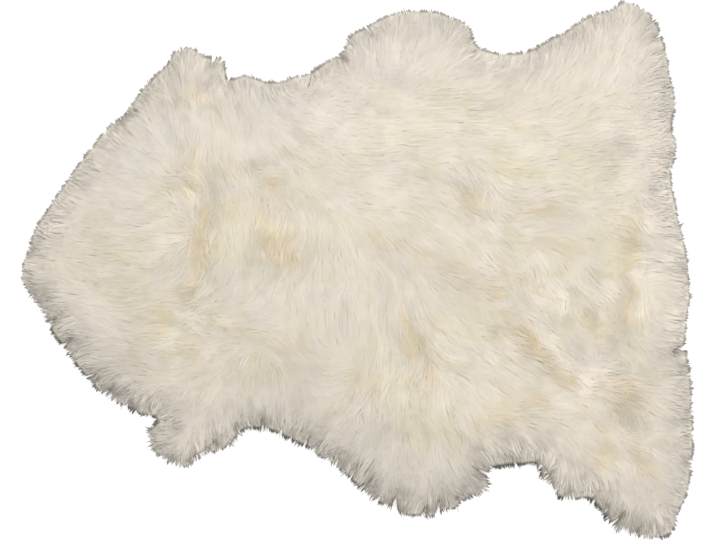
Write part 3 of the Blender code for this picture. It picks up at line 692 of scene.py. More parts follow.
def lock_paths(pelt, middles, length, stray, bend, rng):
    """The line of each lock along the lie of the wool, from a root short of its middle to its tip."""
    ruffled = np.clip(0.95 - pelt.at(pelt.settled, middles), 0, 1)
    away = pelt.at(pelt.away, middles) + rng.normal(0, 1, middles.shape) * (0.1 + 1.5 * ruffled)
    stray = stray + rng.normal(0, 0.6, len(middles)) * ruffled[:, 0]

    def onward(places, heading, bend):
        return turned(unit(0.4 * heading + 0.6 * turned(with_run(pelt, places, heading), stray)), bend)

    heading = turned(with_run(pelt, middles, away), stray)
    knee = middles - heading * (length * (ROOT_SHARE - ALONG[1]))[:, None]
    root = knee - onward(knee, heading, -bend) * (length * ALONG[1])[:, None]
    crown = middles + heading * (length * (ALONG[2] - ROOT_SHARE))[:, None]
    tip = crown + onward(crown, heading, bend) * (length * (1 - ALONG[2]))[:, None]
    for _ in range(8):
        outside = pelt.inset_at(root) < ROOT_INSET
        root = root + (middles - root) * 0.3 * outside[:, None]
    knee = np.where((pelt.inset_at(knee) < ROOT_INSET)[:, None], (root + middles) / 2, knee)
    return np.stack((root, knee, crown, tip), 1)


def tufted_rim(pelt, path, under, rng):
    """Paths whose tips are drawn into tufts round the rim and kept within it, and the gaps between tufts."""
    tips = path[:, -1]
    wild_shaded_side = pelt.at(pelt.wild_shaded_side, tips)[:, 0]
    near = np.exp(-((np.maximum(pelt.inset_at(tips), 0) / TUFT_REACH) ** 4))
    spare = np.full(len(tips), -OVERHANG)
    gap = np.zeros(len(tips))
    for kind, roughness in ((BROAD_TUFT, wild_shaded_side), (POINTED_TUFT, 0.35 + 0.65 * wild_shaded_side)):
        tufts = scattered(pelt, kind.spacing, 0.0, rng)
        tufts = tufts[pelt.inset_at(tufts) < kind.spacing]
        tufts += pelt.at(pelt.outward, tufts) * pelt.inset_at(tufts)[:, None]
        tuft = nearest(tips, tufts)
        beside = quarter_turn(pelt.at(pelt.outward, tufts))[tuft]
        offset = ((tips - tufts[tuft]) * beside).sum(1)
        offset = np.clip(offset, -kind.spacing, kind.spacing)
        part = np.clip(np.abs(offset) / (kind.spacing / 2), 0, 1.3)
        drawn = kind.drawn * roughness * near * (1 - under) * offset
        path = path - drawn[:, None, None] * beside[:, None] * (ALONG**1.5)[:, None]
        uneven = kind.unevenness * rng.uniform(-1, 1, len(tufts))[tuft]
        spare += roughness * (kind.notch * part**2 + uneven)
        gap = np.maximum(gap, roughness * part**3)
    spare = spare * (1 - under) + under * rng.uniform(*UNDER_SPARE, len(tips))
    spare = spare + rng.uniform(*TIP_SPARE, len(tips))
    for _ in range(4):
        start, end = pelt.inset_at(path[:, 0]), pelt.inset_at(path[:, -1])
        share = (start - spare) / np.maximum(start - end, 1e-6)
        stretched = 1 + (np.clip(share, 1, TRIMMED[1]) - 1) * (end < STRETCH_REACH)
        share = np.where(end < spare, np.clip(share, TRIMMED[0], 1), stretched)
        path = path[:, :1] + (path - path[:, :1]) * share[:, None, None]
    return path, np.clip(gap * near, 0, 1)


def along_path(path, share):
    """The places at a share of the way along each path."""
    before = np.clip(np.searchsorted(ALONG, share, side="right") - 1, 0, STEPS - 1)
    part = ((share - ALONG[before]) / (ALONG[before + 1] - ALONG[before]))[..., None]
    low = np.take_along_axis(path, before[..., None], 1)
    high = np.take_along_axis(path, before[..., None] + 1, 1)
    return low * (1 - part) + high * part


Locks = namedtuple("Locks", "path big_offset tone lift depth tufted stain fleck ruffle")


def grown_locks(pelt, sizes, rng):
    """Every lock of the pelt, gathered into bigger locks that share their bend and tone."""
    big_middles = scattered(pelt, sizes.big_lock, 0.0, rng)
    tress_middles = scattered(pelt, sizes.tress, 0.0, rng)
    tress = nearest(big_middles, tress_middles)
    tress_tone, tress_lift, tress_stray = rng.normal(0, 1, (3, len(tress_middles)))
    big_stray = rng.normal(0, BIG_STRAY, len(big_middles)) + TRESS_STRAY * tress_stray[tress]
    big_bend = rng.normal(0, BIG_BEND, len(big_middles))
    big_tone = 0.8 * rng.normal(0, 1, len(big_middles)) + 0.8 * tress_tone[tress]
    big_lift = 0.8 * rng.normal(0, 1, len(big_middles)) + 0.8 * tress_lift[tress]
    inner = scattered(pelt, sizes.lock, sizes.rim_row, rng)
    fringe = scattered(pelt, sizes.lock * FRINGE_SPACING, sizes.rim_row, rng)
    middles = np.concatenate((inner, fringe[pelt.inset_at(fringe) < sizes.fringe]))
    big = nearest(middles, big_middles)
    count = len(middles)
    near_rim = faded(pelt.inset_at(middles), sizes.fringe)
    ruffle = pelt.at(pelt.ruffle, middles)[:, 0]
    length = sizes.wool_length * (0.85 + 0.15 * near_rim - 0.25 * ruffle) * rng.uniform(*LENGTHS, count)
    depth = rng.beta(*DEPTHS, count)
    under = np.clip((depth - UNDER_FROM) * 8, 0, 1)
    stray = (big_stray[big] + rng.normal(0, LOCK_STRAY, count)) * (0.45 + 0.75 * ruffle)
    bend = (big_bend[big] + rng.normal(0, LOCK_BEND, count)) * (0.40 + 0.80 * ruffle)
    path = lock_paths(pelt, middles, length, stray, bend, rng)
    big_offset = middles - big_middles[big]
    gather = (0.12 + 0.20 * near_rim * (1 - under))[:, None] * ALONG**1.5
    path = path - big_offset[:, None] * gather[..., None]
    path, gap = tufted_rim(pelt, path, under, rng)
    # Locks in the gaps between tufts lie deeper, so their strands take more painted shade.
    depth = np.clip(depth + 0.8 * gap, 0, 1)
    tufted = near_rim * (1 - under) * (1 - gap)
    tone = 0.6 * big_tone[big] + 0.6 * rng.normal(0, 1, count)
    lift = (1.1 * big_lift[big] + 0.8 * rng.normal(0, 1, count)) * (0.35 + 1.0 * ruffle)
    stain = np.clip(rng.normal(0.7, 0.6, count), 0, 2)
    fleck = rng.uniform(*FLECKS, count)
    fleck = fleck * (rng.uniform(0, 1, count) < FLECKED[0] + FLECKED[1] * ruffle) * (1 - near_rim)
    locks = Locks(path, big_offset, tone, lift, depth, tufted, stain, fleck, ruffle)
    kept = pelt.inset_at(path).min(1) > -2 * OVERHANG
    return Locks(*(values[kept] for values in locks))


class Strands:
    """The strands of some locks: where they run, how high they lie, and what their colour comes from."""

    def __init__(self, pelt, locks, chosen, sizes, rng):
        lock = np.repeat(chosen, sizes.wisps_in_lock * WISP)
        self.pelt, self.sizes, self.rng, self.count = pelt, sizes, rng, len(lock)
        self.locks = Locks(*(values[lock] for values in locks))
        self.set_out()
        self.settle()

    def each(self, low, high):
        """A random number for each strand."""
        return self.rng.uniform(low, high, self.count)

    def each_wisp(self, low, high):
        """A random number for each wisp, which its strands share."""
        return np.repeat(self.rng.uniform(low, high, self.count // WISP), WISP)

    def strays(self, spread, size=()):
        """Normal random numbers for each strand."""
        return self.rng.normal(0, spread, (self.count, *size))

    def wisp_strays(self, spread, size=()):
        """Normal random numbers for each wisp, which its strands share."""
        return np.repeat(self.rng.normal(0, spread, (self.count // WISP, *size)), WISP, axis=0)

    def set_out(self):
        """Find where each strand runs over the floor: beside its lock's path, and clear of the partings."""
        pelt, tufted = self.pelt, self.locks.tufted
        self.radius = self.sizes.lock * (LOCK_SPREAD - TUFT_DRAWING * tufted)
        turn = self.each_wisp(0, 2 * np.pi)
        self.out = self.radius * np.sqrt(self.each_wisp(0, 1))
        self.offset = np.stack((np.cos(turn), np.sin(turn)), 1) * self.out[:, None]
        self.flyaway = (self.each(0, 1) < FLYAWAYS) * 1.0
        stray = self.wisp_strays(WISP_STRAY, (2,)) + self.strays(STRAND_STRAY, (2,))
        stray += self.strays(FLYAWAY_STRAY, (2,)) * self.flyaway[:, None]
        self.sunk = self.each_wisp(0, 1) ** 3
        self.reach = 1 - self.each_wisp(0, 0.15) * (1 - 0.6 * tufted)
        self.reach -= self.each(0, 0.03)
        wild_shaded_side = pelt.at(pelt.wild_shaded_side, self.locks.path[:, -1])[:, 0]
        self.reach -= (0.006 + 0.026 * wild_shaded_side) * (1 - self.sunk) * tufted
        path = along_path(self.locks.path, self.reach[:, None] * ALONG)
        gather = 1 - (0.10 + 0.75 * tufted)[:, None] * ALONG**1.2
        flat = path + self.offset[:, None] * gather[..., None] + stray[:, None] * (ALONG**2)[None, :, None]
        beside = quarter_turn(unit(path[:, -1] - path[:, 0]))
        abreast = (np.arange(self.count) % WISP - (WISP - 1) / 2) * self.sizes.strand_width
        flat += (beside * abreast[:, None])[:, None] * (1.1 - 0.6 * ALONG)[None, :, None]
        self.flat, self.shade = parted(pelt, flat)

    def settle(self):
        """Find how high each strand lies: from the underwool to the top of the fleece, or on the floor."""
        pelt, locks = self.pelt, self.locks
        self.inset = pelt.inset_at(self.flat)
        self.at_rim = faded(np.maximum(self.inset[:, -1], 0), RIM_LIE)
        sunk = (0.12 + 0.85 * self.at_rim) * self.sunk * (1 - self.flyaway)
        self.depth = np.clip(locks.depth * (1 - 0.3 * self.at_rim) + sunk, 0, 1)
        layer = 1.04 - (0.14 + 0.10 * locks.ruffle + 0.16 * self.at_rim) * self.depth
        rounding = 0.0005 * (1 - (self.out / self.radius) ** 2) - 0.00025
        shoulder = np.clip(self.inset[:, 0] / SHOULDER, 0, 1)
        lift = (0.0009 * locks.lift + rounding) * shoulder + FLYAWAY_LIFT * self.flyaway * self.each(0, 1)
        bed = pelt.bed_at(self.flat, self.sizes)
        fleece = pelt.height_at(self.flat)
        height = bed + (fleece - bed) * layer[:, None] * RISE + lift[:, None] * ALONG
        height = height * (1 - DROOP * (np.clip(1 - self.inset / DROOP_REACH, 0, 1) * ALONG))
        self.height = np.maximum(height, LOWEST + LOWEST_SPREAD * self.each(0, 1)[:, None])

    def ribbons(self):
        """The strands as ribbons: the places of their two edges, and the normals at both."""
        pelt, locks = self.pelt, self.locks
        middle = np.concatenate((self.flat, self.height[..., None]), -1)
        tangent = unit(np.gradient(middle, axis=1))
        across = unit(quarter_turn(tangent[..., :2]))
        side = np.concatenate((across, np.zeros((*across.shape[:-1], 1))), -1)
        roll = self.strays(0.10, (1, 1))
        side = side * np.cos(roll) + np.cross(tangent, side) * np.sin(roll)
        width = self.sizes.strand_width * self.each(*WIDTHS)
        width = width * (1 + 0.10 * faded(self.inset[:, -1], 0.02))
        half = side * (width[:, None] * TAPER / 2)[..., None]

        facing = pelt.at(pelt.facing(), self.flat)
        in_lock = (self.offset[:, None] * across).sum(-1) / self.radius[:, None]
        in_big = (locks.big_offset[:, None] * across).sum(-1) / (self.sizes.big_lock / 2)
        ruffle = locks.ruffle[:, None]
        lean = (0.02 + 0.04 * ruffle + 0.03 * self.at_rim[:, None]) * in_lock
        lean = lean + (0.07 + 0.17 * ruffle) * np.clip(in_big, -1.2, 1.2)
        left, right = (unit(facing + side * (lean + apart)[..., None]) for apart in (EDGE_LEAN, -EDGE_LEAN))
        return middle + half, middle - half, left, right

    def marks(self):
        """What the wool's colour comes from: a number for each strand, or for each of its points."""
        pelt, locks, at_rim = self.pelt, self.locks, self.at_rim
        crown = self.flat[:, 2]
        streak = pelt.at(pelt.streak, crown)[:, 0]
        tone = (0.6 - 0.3 * at_rim) * locks.tone + (1.8 - 1.3 * at_rim) * streak
        tone += (0.10 + 0.9 * at_rim) * self.wisp_strays(1) + (0.05 + 0.5 * at_rim) * self.strays(1)
        tone *= np.clip(0.65 + 0.9 * locks.ruffle + 0.35 * at_rim, 0, 1.5)
        stain = pelt.felt(STAINS, crown + self.strays(STAIN_BLUR, (2,)))[:, 0]
        cast = pelt.felt(STAINS, crown, spread=CAST_SPREAD)[:, 0]
        bright, cream = pelt.at(pelt.painted_light_and_tinges, crown).T
        return {
            "along": self.reach[:, None] * ALONG,
            "inset": self.inset,
            "wild_shaded_side": pelt.at(pelt.wild_shaded_side, self.flat)[..., 0],
            "shade": self.shade,
            "tone": tone,
            "depth": self.depth,
            "stain": np.clip(stain, -1, 1) * locks.stain + locks.fleck,
            "cast": np.clip(cast, 0, 1),
            "bright": bright,
            "cream": cream,
        }


def ribbon_mesh(name, left, right, left_normal, right_normal, marks):
    """A mesh of ribbons, each with a pointed tip, from the two edges of every strand."""
    count = len(left)

    def laid_out(a, b):
        body = np.stack((a[:, :-1], b[:, :-1]), 2).reshape(count, 2 * STEPS, -1)
        return np.concatenate((body, a[:, -1:].reshape(count, 1, -1)), 1).reshape(count * (2 * STEPS + 1), -1)

    places = laid_out(left, right)
    normals = laid_out(left_normal, right_normal)
    first = np.arange(count)[:, None] * (2 * STEPS + 1)
    corners = []
    for step in range(STEPS - 1):
        corners += [2 * step + 1, 2 * step + 3, 2 * step + 2, 2 * step]
    corners += [2 * STEPS - 1, 2 * STEPS, 2 * STEPS - 2]
    totals = [4] * (STEPS - 1) + [3]
    loops = (first + np.array(corners)).ravel()
    loop_totals = np.tile(totals, count)
    loop_starts = np.concatenate(([0], np.cumsum(loop_totals)[:-1]))

    mesh = bpy.data.meshes.new(name)
    mesh.vertices.add(len(places))
    mesh.vertices.foreach_set("co", places.astype(np.float32).ravel())
    mesh.loops.add(len(loops))
    mesh.loops.foreach_set("vertex_index", loops.astype(np.int32))
    mesh.polygons.add(len(loop_totals))
    mesh.polygons.foreach_set("loop_start", loop_starts.astype(np.int32))
    mesh.polygons.foreach_set("loop_total", loop_totals.astype(np.int32))
    mesh.update(calc_edges=True)
    mesh.shade_smooth()
    for key, values in marks.items():
        values = np.broadcast_to(values.reshape(count, -1), (count, STEPS + 1))[..., None]
        mark = mesh.attributes.new(key, "FLOAT", "POINT")
        mark.data.foreach_set("value", laid_out(values, values).astype(np.float32).ravel())
    lay_out_strands(mesh, count, loops)
    mesh.normals_split_custom_set_from_vertices(normals.astype(np.float32))
    return mesh


def lay_out_strands(mesh, count, loops):
    """A UV map in which every strand has a cell of its own, root at the bottom and tip at the top."""
    columns = int(np.ceil(np.sqrt(count * 4)))
    rows = int(np.ceil(count / columns))
    number = np.arange(count)
    cell = np.stack((number % columns, number // columns), 1)[:, None]
    u = np.append(np.tile((0.16, 0.84), STEPS), 0.5)
    v = 0.05 + 0.9 * np.append(np.repeat(ALONG[:-1], 2), 1.0)
    places = (cell + np.stack((u, v), 1)) / (columns, rows)
    layer = mesh.uv_layers.new(name="OFBake", do_init=False)
    layer.uv.foreach_set("vector", places.reshape(-1, 2)[loops].astype(np.float32).ravel())


# ---- The hide and the underwool, as slabs that follow the rim

SHARP_FROM = np.radians(50)
LOWEST_UNDERWOOL = 0.004  # how high over the floor its top lies at its edge


def slab_mesh(name, pelt, inset, bottom, top_at):
    """A closed slab whose edge lies at an inset from the rim, with its top's height worked out at points."""
    xs = np.arange(pelt.low[0], pelt.high[0], SLAB_STEP)
    ys = np.arange(pelt.low[1], pelt.high[1], SLAB_STEP)
    grid = np.stack(np.meshgrid(xs, ys), -1)
    middles = (grid[1:, 1:] + grid[:-1, :-1]) / 2
    kept = pelt.inset_at(middles.reshape(-1, 2)) > inset
    rows, columns = np.divmod(np.flatnonzero(kept), len(xs) - 1)
    corner = rows * len(xs) + columns
    quads = np.stack((corner, corner + 1, corner + len(xs) + 1, corner + len(xs)), 1)
    used, quads = np.unique(quads, return_inverse=True)
    quads = quads.reshape(-1, 4)
    places = grid.reshape(-1, 2)[used]

    edges = np.concatenate([quads[:, (k, (k + 1) % 4)] for k in range(4)])
    pairs = {tuple(edge) for edge in edges.tolist()}
    rim = np.array([edge for edge in pairs if edge[::-1] not in pairs])
    on_rim = np.unique(rim)
    for _ in range(4):
        gap = pelt.inset_at(places[on_rim]) - inset
        places[on_rim] += pelt.at(pelt.outward, places[on_rim]) * gap[:, None]

    count = len(places)
    high = np.column_stack((places, np.broadcast_to(top_at(places), count)))
    low = np.column_stack((places, np.full(count, bottom)))
    walls = np.column_stack((rim, rim[:, ::-1] + count))[:, ::-1]
    faces = np.concatenate((quads, quads[:, ::-1] + count, walls))
    mesh = bpy.data.meshes.new(name)
    mesh.from_pydata(np.concatenate((high, low)).tolist(), [], faces.tolist())
    mesh.update()
    mesh.shade_smooth()
    mesh.set_sharp_from_angle(angle=SHARP_FROM)
    return mesh


# ---- Materials


class Wire:
    """A node's output, with the usual operators for numbers that vary over a surface."""

    def __init__(self, shading, socket):
        self.shading, self.socket = shading, socket

    def maths(self, operation, *values):
        """What a Math node makes of some numbers."""
        return self.shading.node("ShaderNodeMath", {"operation": operation}, values)

    def __add__(self, other):
        return self.maths("ADD", self, other)

    __radd__ = __add__

    def __sub__(self, other):
        return self.maths("SUBTRACT", self, other)

    def __rsub__(self, other):
        return self.maths("SUBTRACT", other, self)

    def __mul__(self, other):
        return self.maths("MULTIPLY", self, other)

    __rmul__ = __mul__

    def __truediv__(self, other):
        return self.maths("DIVIDE", self, other)

    def __rtruediv__(self, other):
        return self.maths("DIVIDE", other, self)

    def within(self, low=0.0, high=1.0):
        """The number held between two others."""
        return self.maths("MINIMUM", self.maths("MAXIMUM", self, low), high)


class Shading:
    """Adds nodes to one material and joins them up."""

    def __init__(self, name):
        self.material = bpy.data.materials.new(name)
        self.material.use_nodes = True
        self.tree = self.material.node_tree
        self.tree.nodes.clear()

    def node(self, kind, settings, values, output=0):
        """A node of a type, with its settings, then the values or links of its sockets by place or name."""
        made = self.tree.nodes.new(kind)
        for key, value in settings.items():
            setattr(made, key, value)
        items = values.items() if isinstance(values, dict) else enumerate(values)
        for key, value in items:
            if isinstance(value, Wire):
                self.tree.links.new(value.socket, made.inputs[key])
            else:
                made.inputs[key].default_value = value
        return Wire(self, made.outputs[output]) if made.outputs else None

    def mark(self, name):
        """A number that each point of the mesh holds."""
        return self.node("ShaderNodeAttribute", {"attribute_name": name}, {}, "Fac")

    def place(self):
        return self.node("ShaderNodeTexCoord", {}, {}, "Object")

    def noise(self, scale, detail=2.0, roughness=0.5):
        values = {"Vector": self.place(), "Scale": scale, "Detail": detail, "Roughness": roughness}
        return self.node("ShaderNodeTexNoise", {}, values, "Fac")

    def mixed(self, share, first, second):
        """Two colours mixed by a share of the second."""
        return self.node("ShaderNodeMix", {"data_type": "RGBA"}, {0: share, 6: first, 7: second}, 2)

    def brightened(self, colour, amount):
        """A colour times a number."""
        return self.node("ShaderNodeVectorMath", {"operation": "SCALE"}, {"Vector": colour, "Scale": amount})

    def bump(self, height, strength, distance):
        values = {"Strength": strength, "Distance": distance, "Height": height}
        return self.node("ShaderNodeBump", {}, values, "Normal")

    def surface(self, colour, roughness, **more):
        """The shader of a surface, with its further sockets by name, written with _ for a space."""
        values = {"Base Color": colour, "Roughness": roughness}
        values.update((key.replace("_", " "), value) for key, value in more.items())
        return self.node("ShaderNodeBsdfPrincipled", {}, values)

    def finish(self, shader):
        """The material, once its shader is on its surface."""
        self.node("ShaderNodeOutputMaterial", {}, {"Surface": shader})
        return self.material


def rgba(colour):
    """A colour as a socket takes it, with full alpha."""
    return (*colour, 1.0)


MARGIN = 0.066  # how far in from the rim the wool is greyer, and painted in shade
RIM_SHADE = 0.0043  # how far in from the rim it lies in its own deep shade
RING = (0.005, 0.016)  # between which distances from the rim it is painted a little darker again, as painted shade
PATCHES, CASTS, FLECKING = 9.0, 24.0, 95.0  # how many swells of colour there are to a metre
MOST_GOLD, MOST_SHADOW, MOST_LIGHT = 0.64, 0.9, 1.35  # the most of each that a strand is given
LET_THROUGH = 0.62  # the share of light that the tips of the wool let through


def wool_finish(colours):
    """Ivory wool: creamier at the root, paler at the tip, stained gold in places, greyer and painted in shade
    round the rim, with painted light and shade where it folds and sinks.
    """
    s = Shading("ivory_wool")
    along, inset, wild_shaded_side, shade = (s.mark(name) for name in ("along", "inset", "wild_shaded_side", "shade"))
    tone, depth, stain = (s.mark(name) for name in ("tone", "depth", "stain"))
    bright, cream = s.mark("bright"), s.mark("cream")
    patch = s.noise(PATCHES, 3.0, 0.6)
    cast = s.noise(CASTS, 3.0, 0.6)
    fleck = s.noise(FLECKING, 3.0, 0.5)

    creamy = ((cast - 0.44) * 3.0 - tone * 0.20 + cream * 0.9).within()
    pale = ((patch - 0.52) * 3.5 - cream * 0.8).within()
    outer = (2.2 - inset * 34.0 + (cast - 0.5) * 1.5).within()
    gold = (stain * (0.30 + (fleck - 0.38) * 2.2)).within(0.0, MOST_GOLD)
    near = (1.0 - inset / MARGIN).within()
    # The wool round the rim is greyer, and painted in shade that fades inward.
    margin = near * near
    # Deep strands near the rim are painted in shade, more so on the wilder side.
    deep = depth * margin
    # The last few millimetres of the rim are painted in deep shade.
    edge = (1.4 - inset / RIM_SHADE).within()
    shadow = (deep * 0.6 + edge * 0.65 + shade * 0.7).within(0.0, MOST_SHADOW)
    colour = rgba(colours.wool)
    for share, other in (
        (creamy, colours.cream),
        (pale, colours.bleached),
        (outer * 0.85, colours.outer),
        ((0.5 - along * 0.5).within(), colours.root),
        ((s.mark("cast") * 0.55).within(), colours.tan),
        (gold, colours.gold),
        ((stain * -0.9).within(), colours.bleached),
        (margin * (0.80 + wild_shaded_side * 0.04), colours.margin),
        (shadow, colours.shadow),
    ):
        colour = s.mixed(share, colour, rgba(other))

    # A band of painted shade just inside the rim, stronger on the tamer side.
    ring_of_painted_shade = (inset / RING[0]).within() * (1.3 - inset / RING[1]).within()
    # Tips near the rim are painted a little darker, as painted shade.
    tip = ((along - 0.72) * 3.6).within() * (1.0 - inset / RING[1]).within()
    contrast = 0.027 + near * 0.018 + margin * (0.045 + wild_shaded_side * 0.105)
    light = 0.992 + tone * contrast + (patch - 0.5) * 0.12 + (fleck - 0.5) * 0.12
    # Painted light and shade where the fleece folds, sinks and swells.
    light = light * (1.0 + bright * 0.062 + margin * 0.02) * (1.0 - deep * (0.24 + wild_shaded_side * 0.46))
    # The wilder side, away from the key light, is painted in deeper shade.
    light = light * (1.0 - tip * 0.12) * (1.0 - edge * (0.42 + wild_shaded_side * 0.38)) * (1.0 - shade * 0.45)
    light = light * (1.0 - ring_of_painted_shade * (0.07 - wild_shaded_side * 0.07))
    colour = s.brightened(colour, light.within(0.0, MOST_LIGHT))
    shader = s.surface(colour, 0.78, Sheen_Weight=0.25, Sheen_Roughness=0.5)
    through = s.node("ShaderNodeBsdfTranslucent", {}, {"Color": rgba(colours.wool)})
    # Less light is let through where shade is painted, so that the painted shade stays dark.
    share = LET_THROUGH * (1.0 - edge) * (1.0 - margin * margin * 0.8) * (1.0 - deep) * (1.0 - shade)
    return s.finish(s.node("ShaderNodeMixShader", {}, (share, shader, through)))


def underwool_finish(colours):
    """The short curly underwool at the foot of the locks: creamy, dull and crimped."""
    s = Shading("cream_underwool")
    cells = {"Vector": s.place(), "Scale": 210.0}
    curls = s.node("ShaderNodeTexVoronoi", {"feature": "SMOOTH_F1"}, cells, "Distance")
    fibre = s.noise(900.0, 4.0, 0.6)
    colour = s.mixed(s.noise(30.0), rgba(colours.root), rgba(colours.wool))
    colour = s.brightened(colour, 0.92 + curls * 0.08 + fibre * 0.04)
    crimp = s.bump(curls * 0.8 + fibre * 0.4, 0.8, 0.003)
    return s.finish(s.surface(colour, 0.95, Normal=crimp))


def suede_finish(colours):
    """The flesh side of the hide: a fine buffed nap, mottled, with paler scuffs."""
    s = Shading("buffed_suede")
    mottle = s.noise(14.0, 5.0, 0.6)
    nap = s.noise(1400.0, 3.0, 0.7)
    pores = s.noise(260.0, 2.0, 0.5)
    colour = s.mixed(((mottle - 0.35) * 2.2).within(), rgba(colours.hide), rgba(colours.hide_pale))
    colour = s.brightened(colour, 0.86 + nap * 0.20 + pores * 0.08)
    grain = s.bump(nap * 0.6 + pores, 0.5, 0.0006)
    return s.finish(s.surface(colour, 0.92, Sheen_Weight=0.35, Sheen_Roughness=0.6, Normal=grain))


def floor_finish(colours):
    """The pale seamless floor."""
    s = Shading("pale_floor")
    colour = rgba(colours.floor)
    return s.finish(s.surface(colour, 0.9, Emission_Color=colour, Emission_Strength=0.90))


# ---- Settings


def length(name, description, default):
    """A length, in metres, that the user can change."""
    return FloatProperty(
        name=name, description=description, default=default, subtype="DISTANCE", unit="LENGTH", precision=4
    )


def tint(name, description, default):
    """A colour that the user can change."""
    return FloatVectorProperty(
        name=name, description=description, default=default, subtype="COLOR", size=3, min=0, max=1
    )


class FleeceSizes(PropertyGroup):
    """Sizes of the wool, the underwool and the hide."""

    wool_length: length("Wool length", "How far a lock lies out from its root", 0.050)
    wool_depth: length("Wool depth", "Depth of the combed wool over the underwool", 0.0034)
    tress: length("Tress", "Width of the tresses that the big locks lie in", 0.034)
    big_lock: length("Big lock", "Width of the big locks that the wool gathers into", 0.017)
    lock: length("Lock", "Width of the small locks that make up a big one", 0.0055)
    strand_width: length("Strand width", "Width of one strand at its widest", 0.00080)
    wisps_in_lock: IntProperty(name="Wisps", description="Wisps in each small lock", default=4, min=1)
    rim_row: length("Rim row", "How far in from the wool tips the outermost locks are centred", 0.007)
    fringe: length("Fringe", "How wide the rim is in which the wool is longer and thicker", 0.042)
    hide_inset: length("Hide inset", "How far in from the wool tips the hide ends", 0.036)
    hide_thickness: length("Hide thickness", "Thickness of the tanned hide", 0.0022)
    underwool_inset: length("Underwool inset", "How far in from the wool tips the underwool ends", 0.017)


class FleeceColours(PropertyGroup):
    """Colours of the wool and the hide."""

    wool: tint("Wool", "Ivory of the tips", (0.89, 0.857, 0.795))
    cream: tint("Cream", "Yellower cast that comes and goes over the fleece", (0.898, 0.865, 0.715))
    root: tint("Root", "Deeper cream at the foot of the wool", (0.85, 0.808, 0.71))
    tan: tint("Tan", "Soft cast round the stains", (0.82, 0.73, 0.59))
    gold: tint("Gold", "Stains where the wool parts", (0.83, 0.70, 0.42))
    bleached: tint("Bleached", "Whitest wool", (0.895, 0.872, 0.84))
    outer: tint("Outer", "Beige wool of the outer third", (0.85, 0.814, 0.773))
    # Greyer wool round the rim, which is painted shade as well.
    margin: tint("Margin", "Greyer wool round the rim", (0.66, 0.607, 0.521))
    shadow: tint("Shadow", "Wool that lies deep between the locks of the rim", (0.46, 0.395, 0.30))
    hide: tint("Hide", "Suede on the underside", (0.56, 0.43, 0.29))
    hide_pale: tint("Pale hide", "Scuffed suede", (0.70, 0.58, 0.43))
    floor: tint("Floor", "Pale floor under the rug", (0.60, 0.60, 0.60))


class StudioSizes(PropertyGroup):
    """The floor, the lights and the camera."""

    camera_height: length("Camera height", "Camera over the floor", 2.6)
    view_width: length("View width", "Width of floor that the camera sees", 1.0024)
    floor_width: length("Floor width", "Width of the floor", 8.0)
    key_power: FloatProperty(
        name="Key", description="Power of the soft key light", default=51.0, subtype="POWER", unit="POWER"
    )
    fill: FloatProperty(name="Fill", description="Strength of the even light all round", default=1.145, min=0)


# ---- Operators


def placed(name, mesh, material):
    """A finished piece that rides on the pelt's body and stands for part of its solid."""
    mesh.materials.append(material)
    piece = bpy.data.objects.new(name, mesh)
    bpy.context.scene.collection.objects.link(piece)
    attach(piece, BODY)
    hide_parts(PELT_NODE)
    return piece


shared = {}


def pelt_field():
    """The pelt's fields, worked out once."""
    if "pelt" not in shared:
        shared["pelt"] = Pelt(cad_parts[PELT_NODE])
    return shared["pelt"]


WOOL_PARTS = ("wool_neck", "wool_shoulders", "wool_loin", "wool_haunches", "wool_rump")


class RUG_OT_underwool(Operator):
    """Lay the bed of underwool that the locks rise from"""

    bl_idname = "rug.underwool"
    bl_label = "Underwool"

    def execute(self, context):
        pelt, sizes = pelt_field(), context.scene.fleece_sizes

        def top_at(points):
            return np.maximum(pelt.bed_at(points, sizes), LOWEST_UNDERWOOL)

        bottom = sizes.hide_thickness + FLOOR_CLEARANCE
        mesh = slab_mesh("underwool", pelt, sizes.underwool_inset, bottom, top_at)
        finish = underwool_finish(context.scene.fleece_colours)
        placed("underwool", mesh, finish)
        return {"FINISHED"}


class RUG_OT_wool(Operator):
    """Comb the locks of wool over the underwool, part by part from the neck to the rump"""

    bl_idname = "rug.wool"
    bl_label = "Wool"

    def execute(self, context):
        pelt, sizes = pelt_field(), context.scene.fleece_sizes
        rng = np.random.default_rng(WOOL_SEED)
        locks = grown_locks(pelt, sizes, rng)
        order = np.argsort(locks.path[:, 1, 0], kind="stable")
        finish = wool_finish(context.scene.fleece_colours)
        for name, chosen in zip(WOOL_PARTS, np.array_split(order, len(WOOL_PARTS))):
            strands = Strands(pelt, locks, chosen, sizes, rng)
            placed(name, ribbon_mesh(name, *strands.ribbons(), strands.marks()), finish)
        return {"FINISHED"}


class RUG_OT_hide(Operator):
    """Lay the tanned hide, suede side down"""

    bl_idname = "rug.hide"
    bl_label = "Hide"

    def execute(self, context):
        pelt, sizes = pelt_field(), context.scene.fleece_sizes

        mesh = slab_mesh("hide", pelt, sizes.hide_inset, 0.0, lambda points: sizes.hide_thickness)
        hide = placed("hide", mesh, suede_finish(context.scene.fleece_colours))
        return {"FINISHED"}


KEY_PLACE = Vector((0.35, 1.25, 2.85))
KEY_WIDTH = 1.6
SENSOR_WIDTH = 36.0  # of the camera, in millimetres, as its lens is


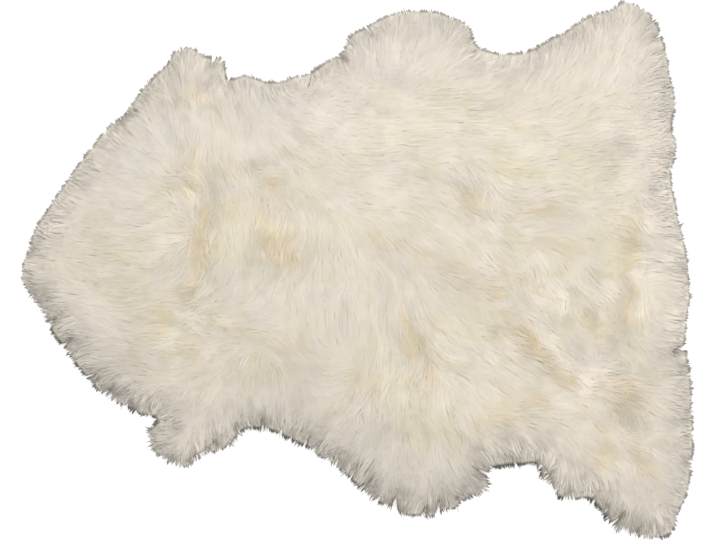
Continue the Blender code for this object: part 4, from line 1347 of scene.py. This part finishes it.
class RUG_OT_studio(Operator):
    """Set the pale floor, the soft lights and the camera straight above the rug"""

    bl_idname = "rug.studio"
    bl_label = "Studio"

    def execute(self, context):
        scene, sizes = context.scene, context.scene.studio_sizes
        half = sizes.floor_width / 2
        corners = [(-half, -half, 0), (half, -half, 0), (half, half, 0), (-half, half, 0)]
        mesh = bpy.data.meshes.new("floor")
        mesh.from_pydata([(x, y, z - FLOOR_CLEARANCE) for x, y, z in corners], [], [(0, 1, 2, 3)])
        mesh.materials.append(floor_finish(scene.fleece_colours))
        floor = bpy.data.objects.new("floor", mesh)
        scene.collection.objects.link(floor)

        light = bpy.data.lights.new("key", "AREA")
        light.shape = "DISK"
        light.size = KEY_WIDTH
        light.energy = sizes.key_power
        key = bpy.data.objects.new("key", light)
        key.location = KEY_PLACE
        key.rotation_euler = (-KEY_PLACE).to_track_quat("-Z", "Y").to_euler()
        scene.collection.objects.link(key)

        world = bpy.data.worlds.new("soft light")
        world.use_nodes = True
        background = world.node_tree.nodes["Background"]
        background.inputs["Color"].default_value = (1, 1, 1, 1)
        background.inputs["Strength"].default_value = sizes.fill
        scene.world = world

        lens = bpy.data.cameras.new("camera")
        lens.sensor_width = SENSOR_WIDTH
        lens.lens = SENSOR_WIDTH * sizes.camera_height / sizes.view_width
        camera = bpy.data.objects.new("camera", lens)
        camera.location = (0, 0, sizes.camera_height)
        scene.collection.objects.link(camera)
        scene.camera = camera
        scene.view_settings.view_transform = "Standard"
        return {"FINISHED"}


class RUG_PT_sheepskin(Panel):
    """Sizes, colours and steps of the sheepskin rug"""

    bl_idname = "RUG_PT_sheepskin"
    bl_label = "Sheepskin Rug"
    bl_space_type = "VIEW_3D"
    bl_region_type = "UI"
    bl_category = "Sheepskin"

    def draw(self, context):
        for group in (context.scene.fleece_sizes, context.scene.fleece_colours, context.scene.studio_sizes):
            box = self.layout.box()
            for key in group.__annotations__:
                box.prop(group, key)
        for operator in OPERATORS:
            self.layout.operator(operator.bl_idname)


GROUPS = (FleeceSizes, FleeceColours, StudioSizes)
OPERATORS = (RUG_OT_studio, RUG_OT_underwool, RUG_OT_wool, RUG_OT_hide)
CLASSES = (*GROUPS, *OPERATORS, RUG_PT_sheepskin)


def register():
    for kind in CLASSES:
        bpy.utils.register_class(kind)
    bpy.types.Scene.fleece_sizes = PointerProperty(type=FleeceSizes)
    bpy.types.Scene.fleece_colours = PointerProperty(type=FleeceColours)
    bpy.types.Scene.studio_sizes = PointerProperty(type=StudioSizes)


def unregister():
    del bpy.types.Scene.studio_sizes
    del bpy.types.Scene.fleece_colours
    del bpy.types.Scene.fleece_sizes
    for kind in reversed(CLASSES):
        bpy.utils.unregister_class(kind)


def main():
    register()
    bpy.ops.rug.studio()
    bpy.ops.rug.underwool()
    bpy.ops.rug.wool()
    bpy.ops.rug.hide()


if __name__ == "__main__":
    main()
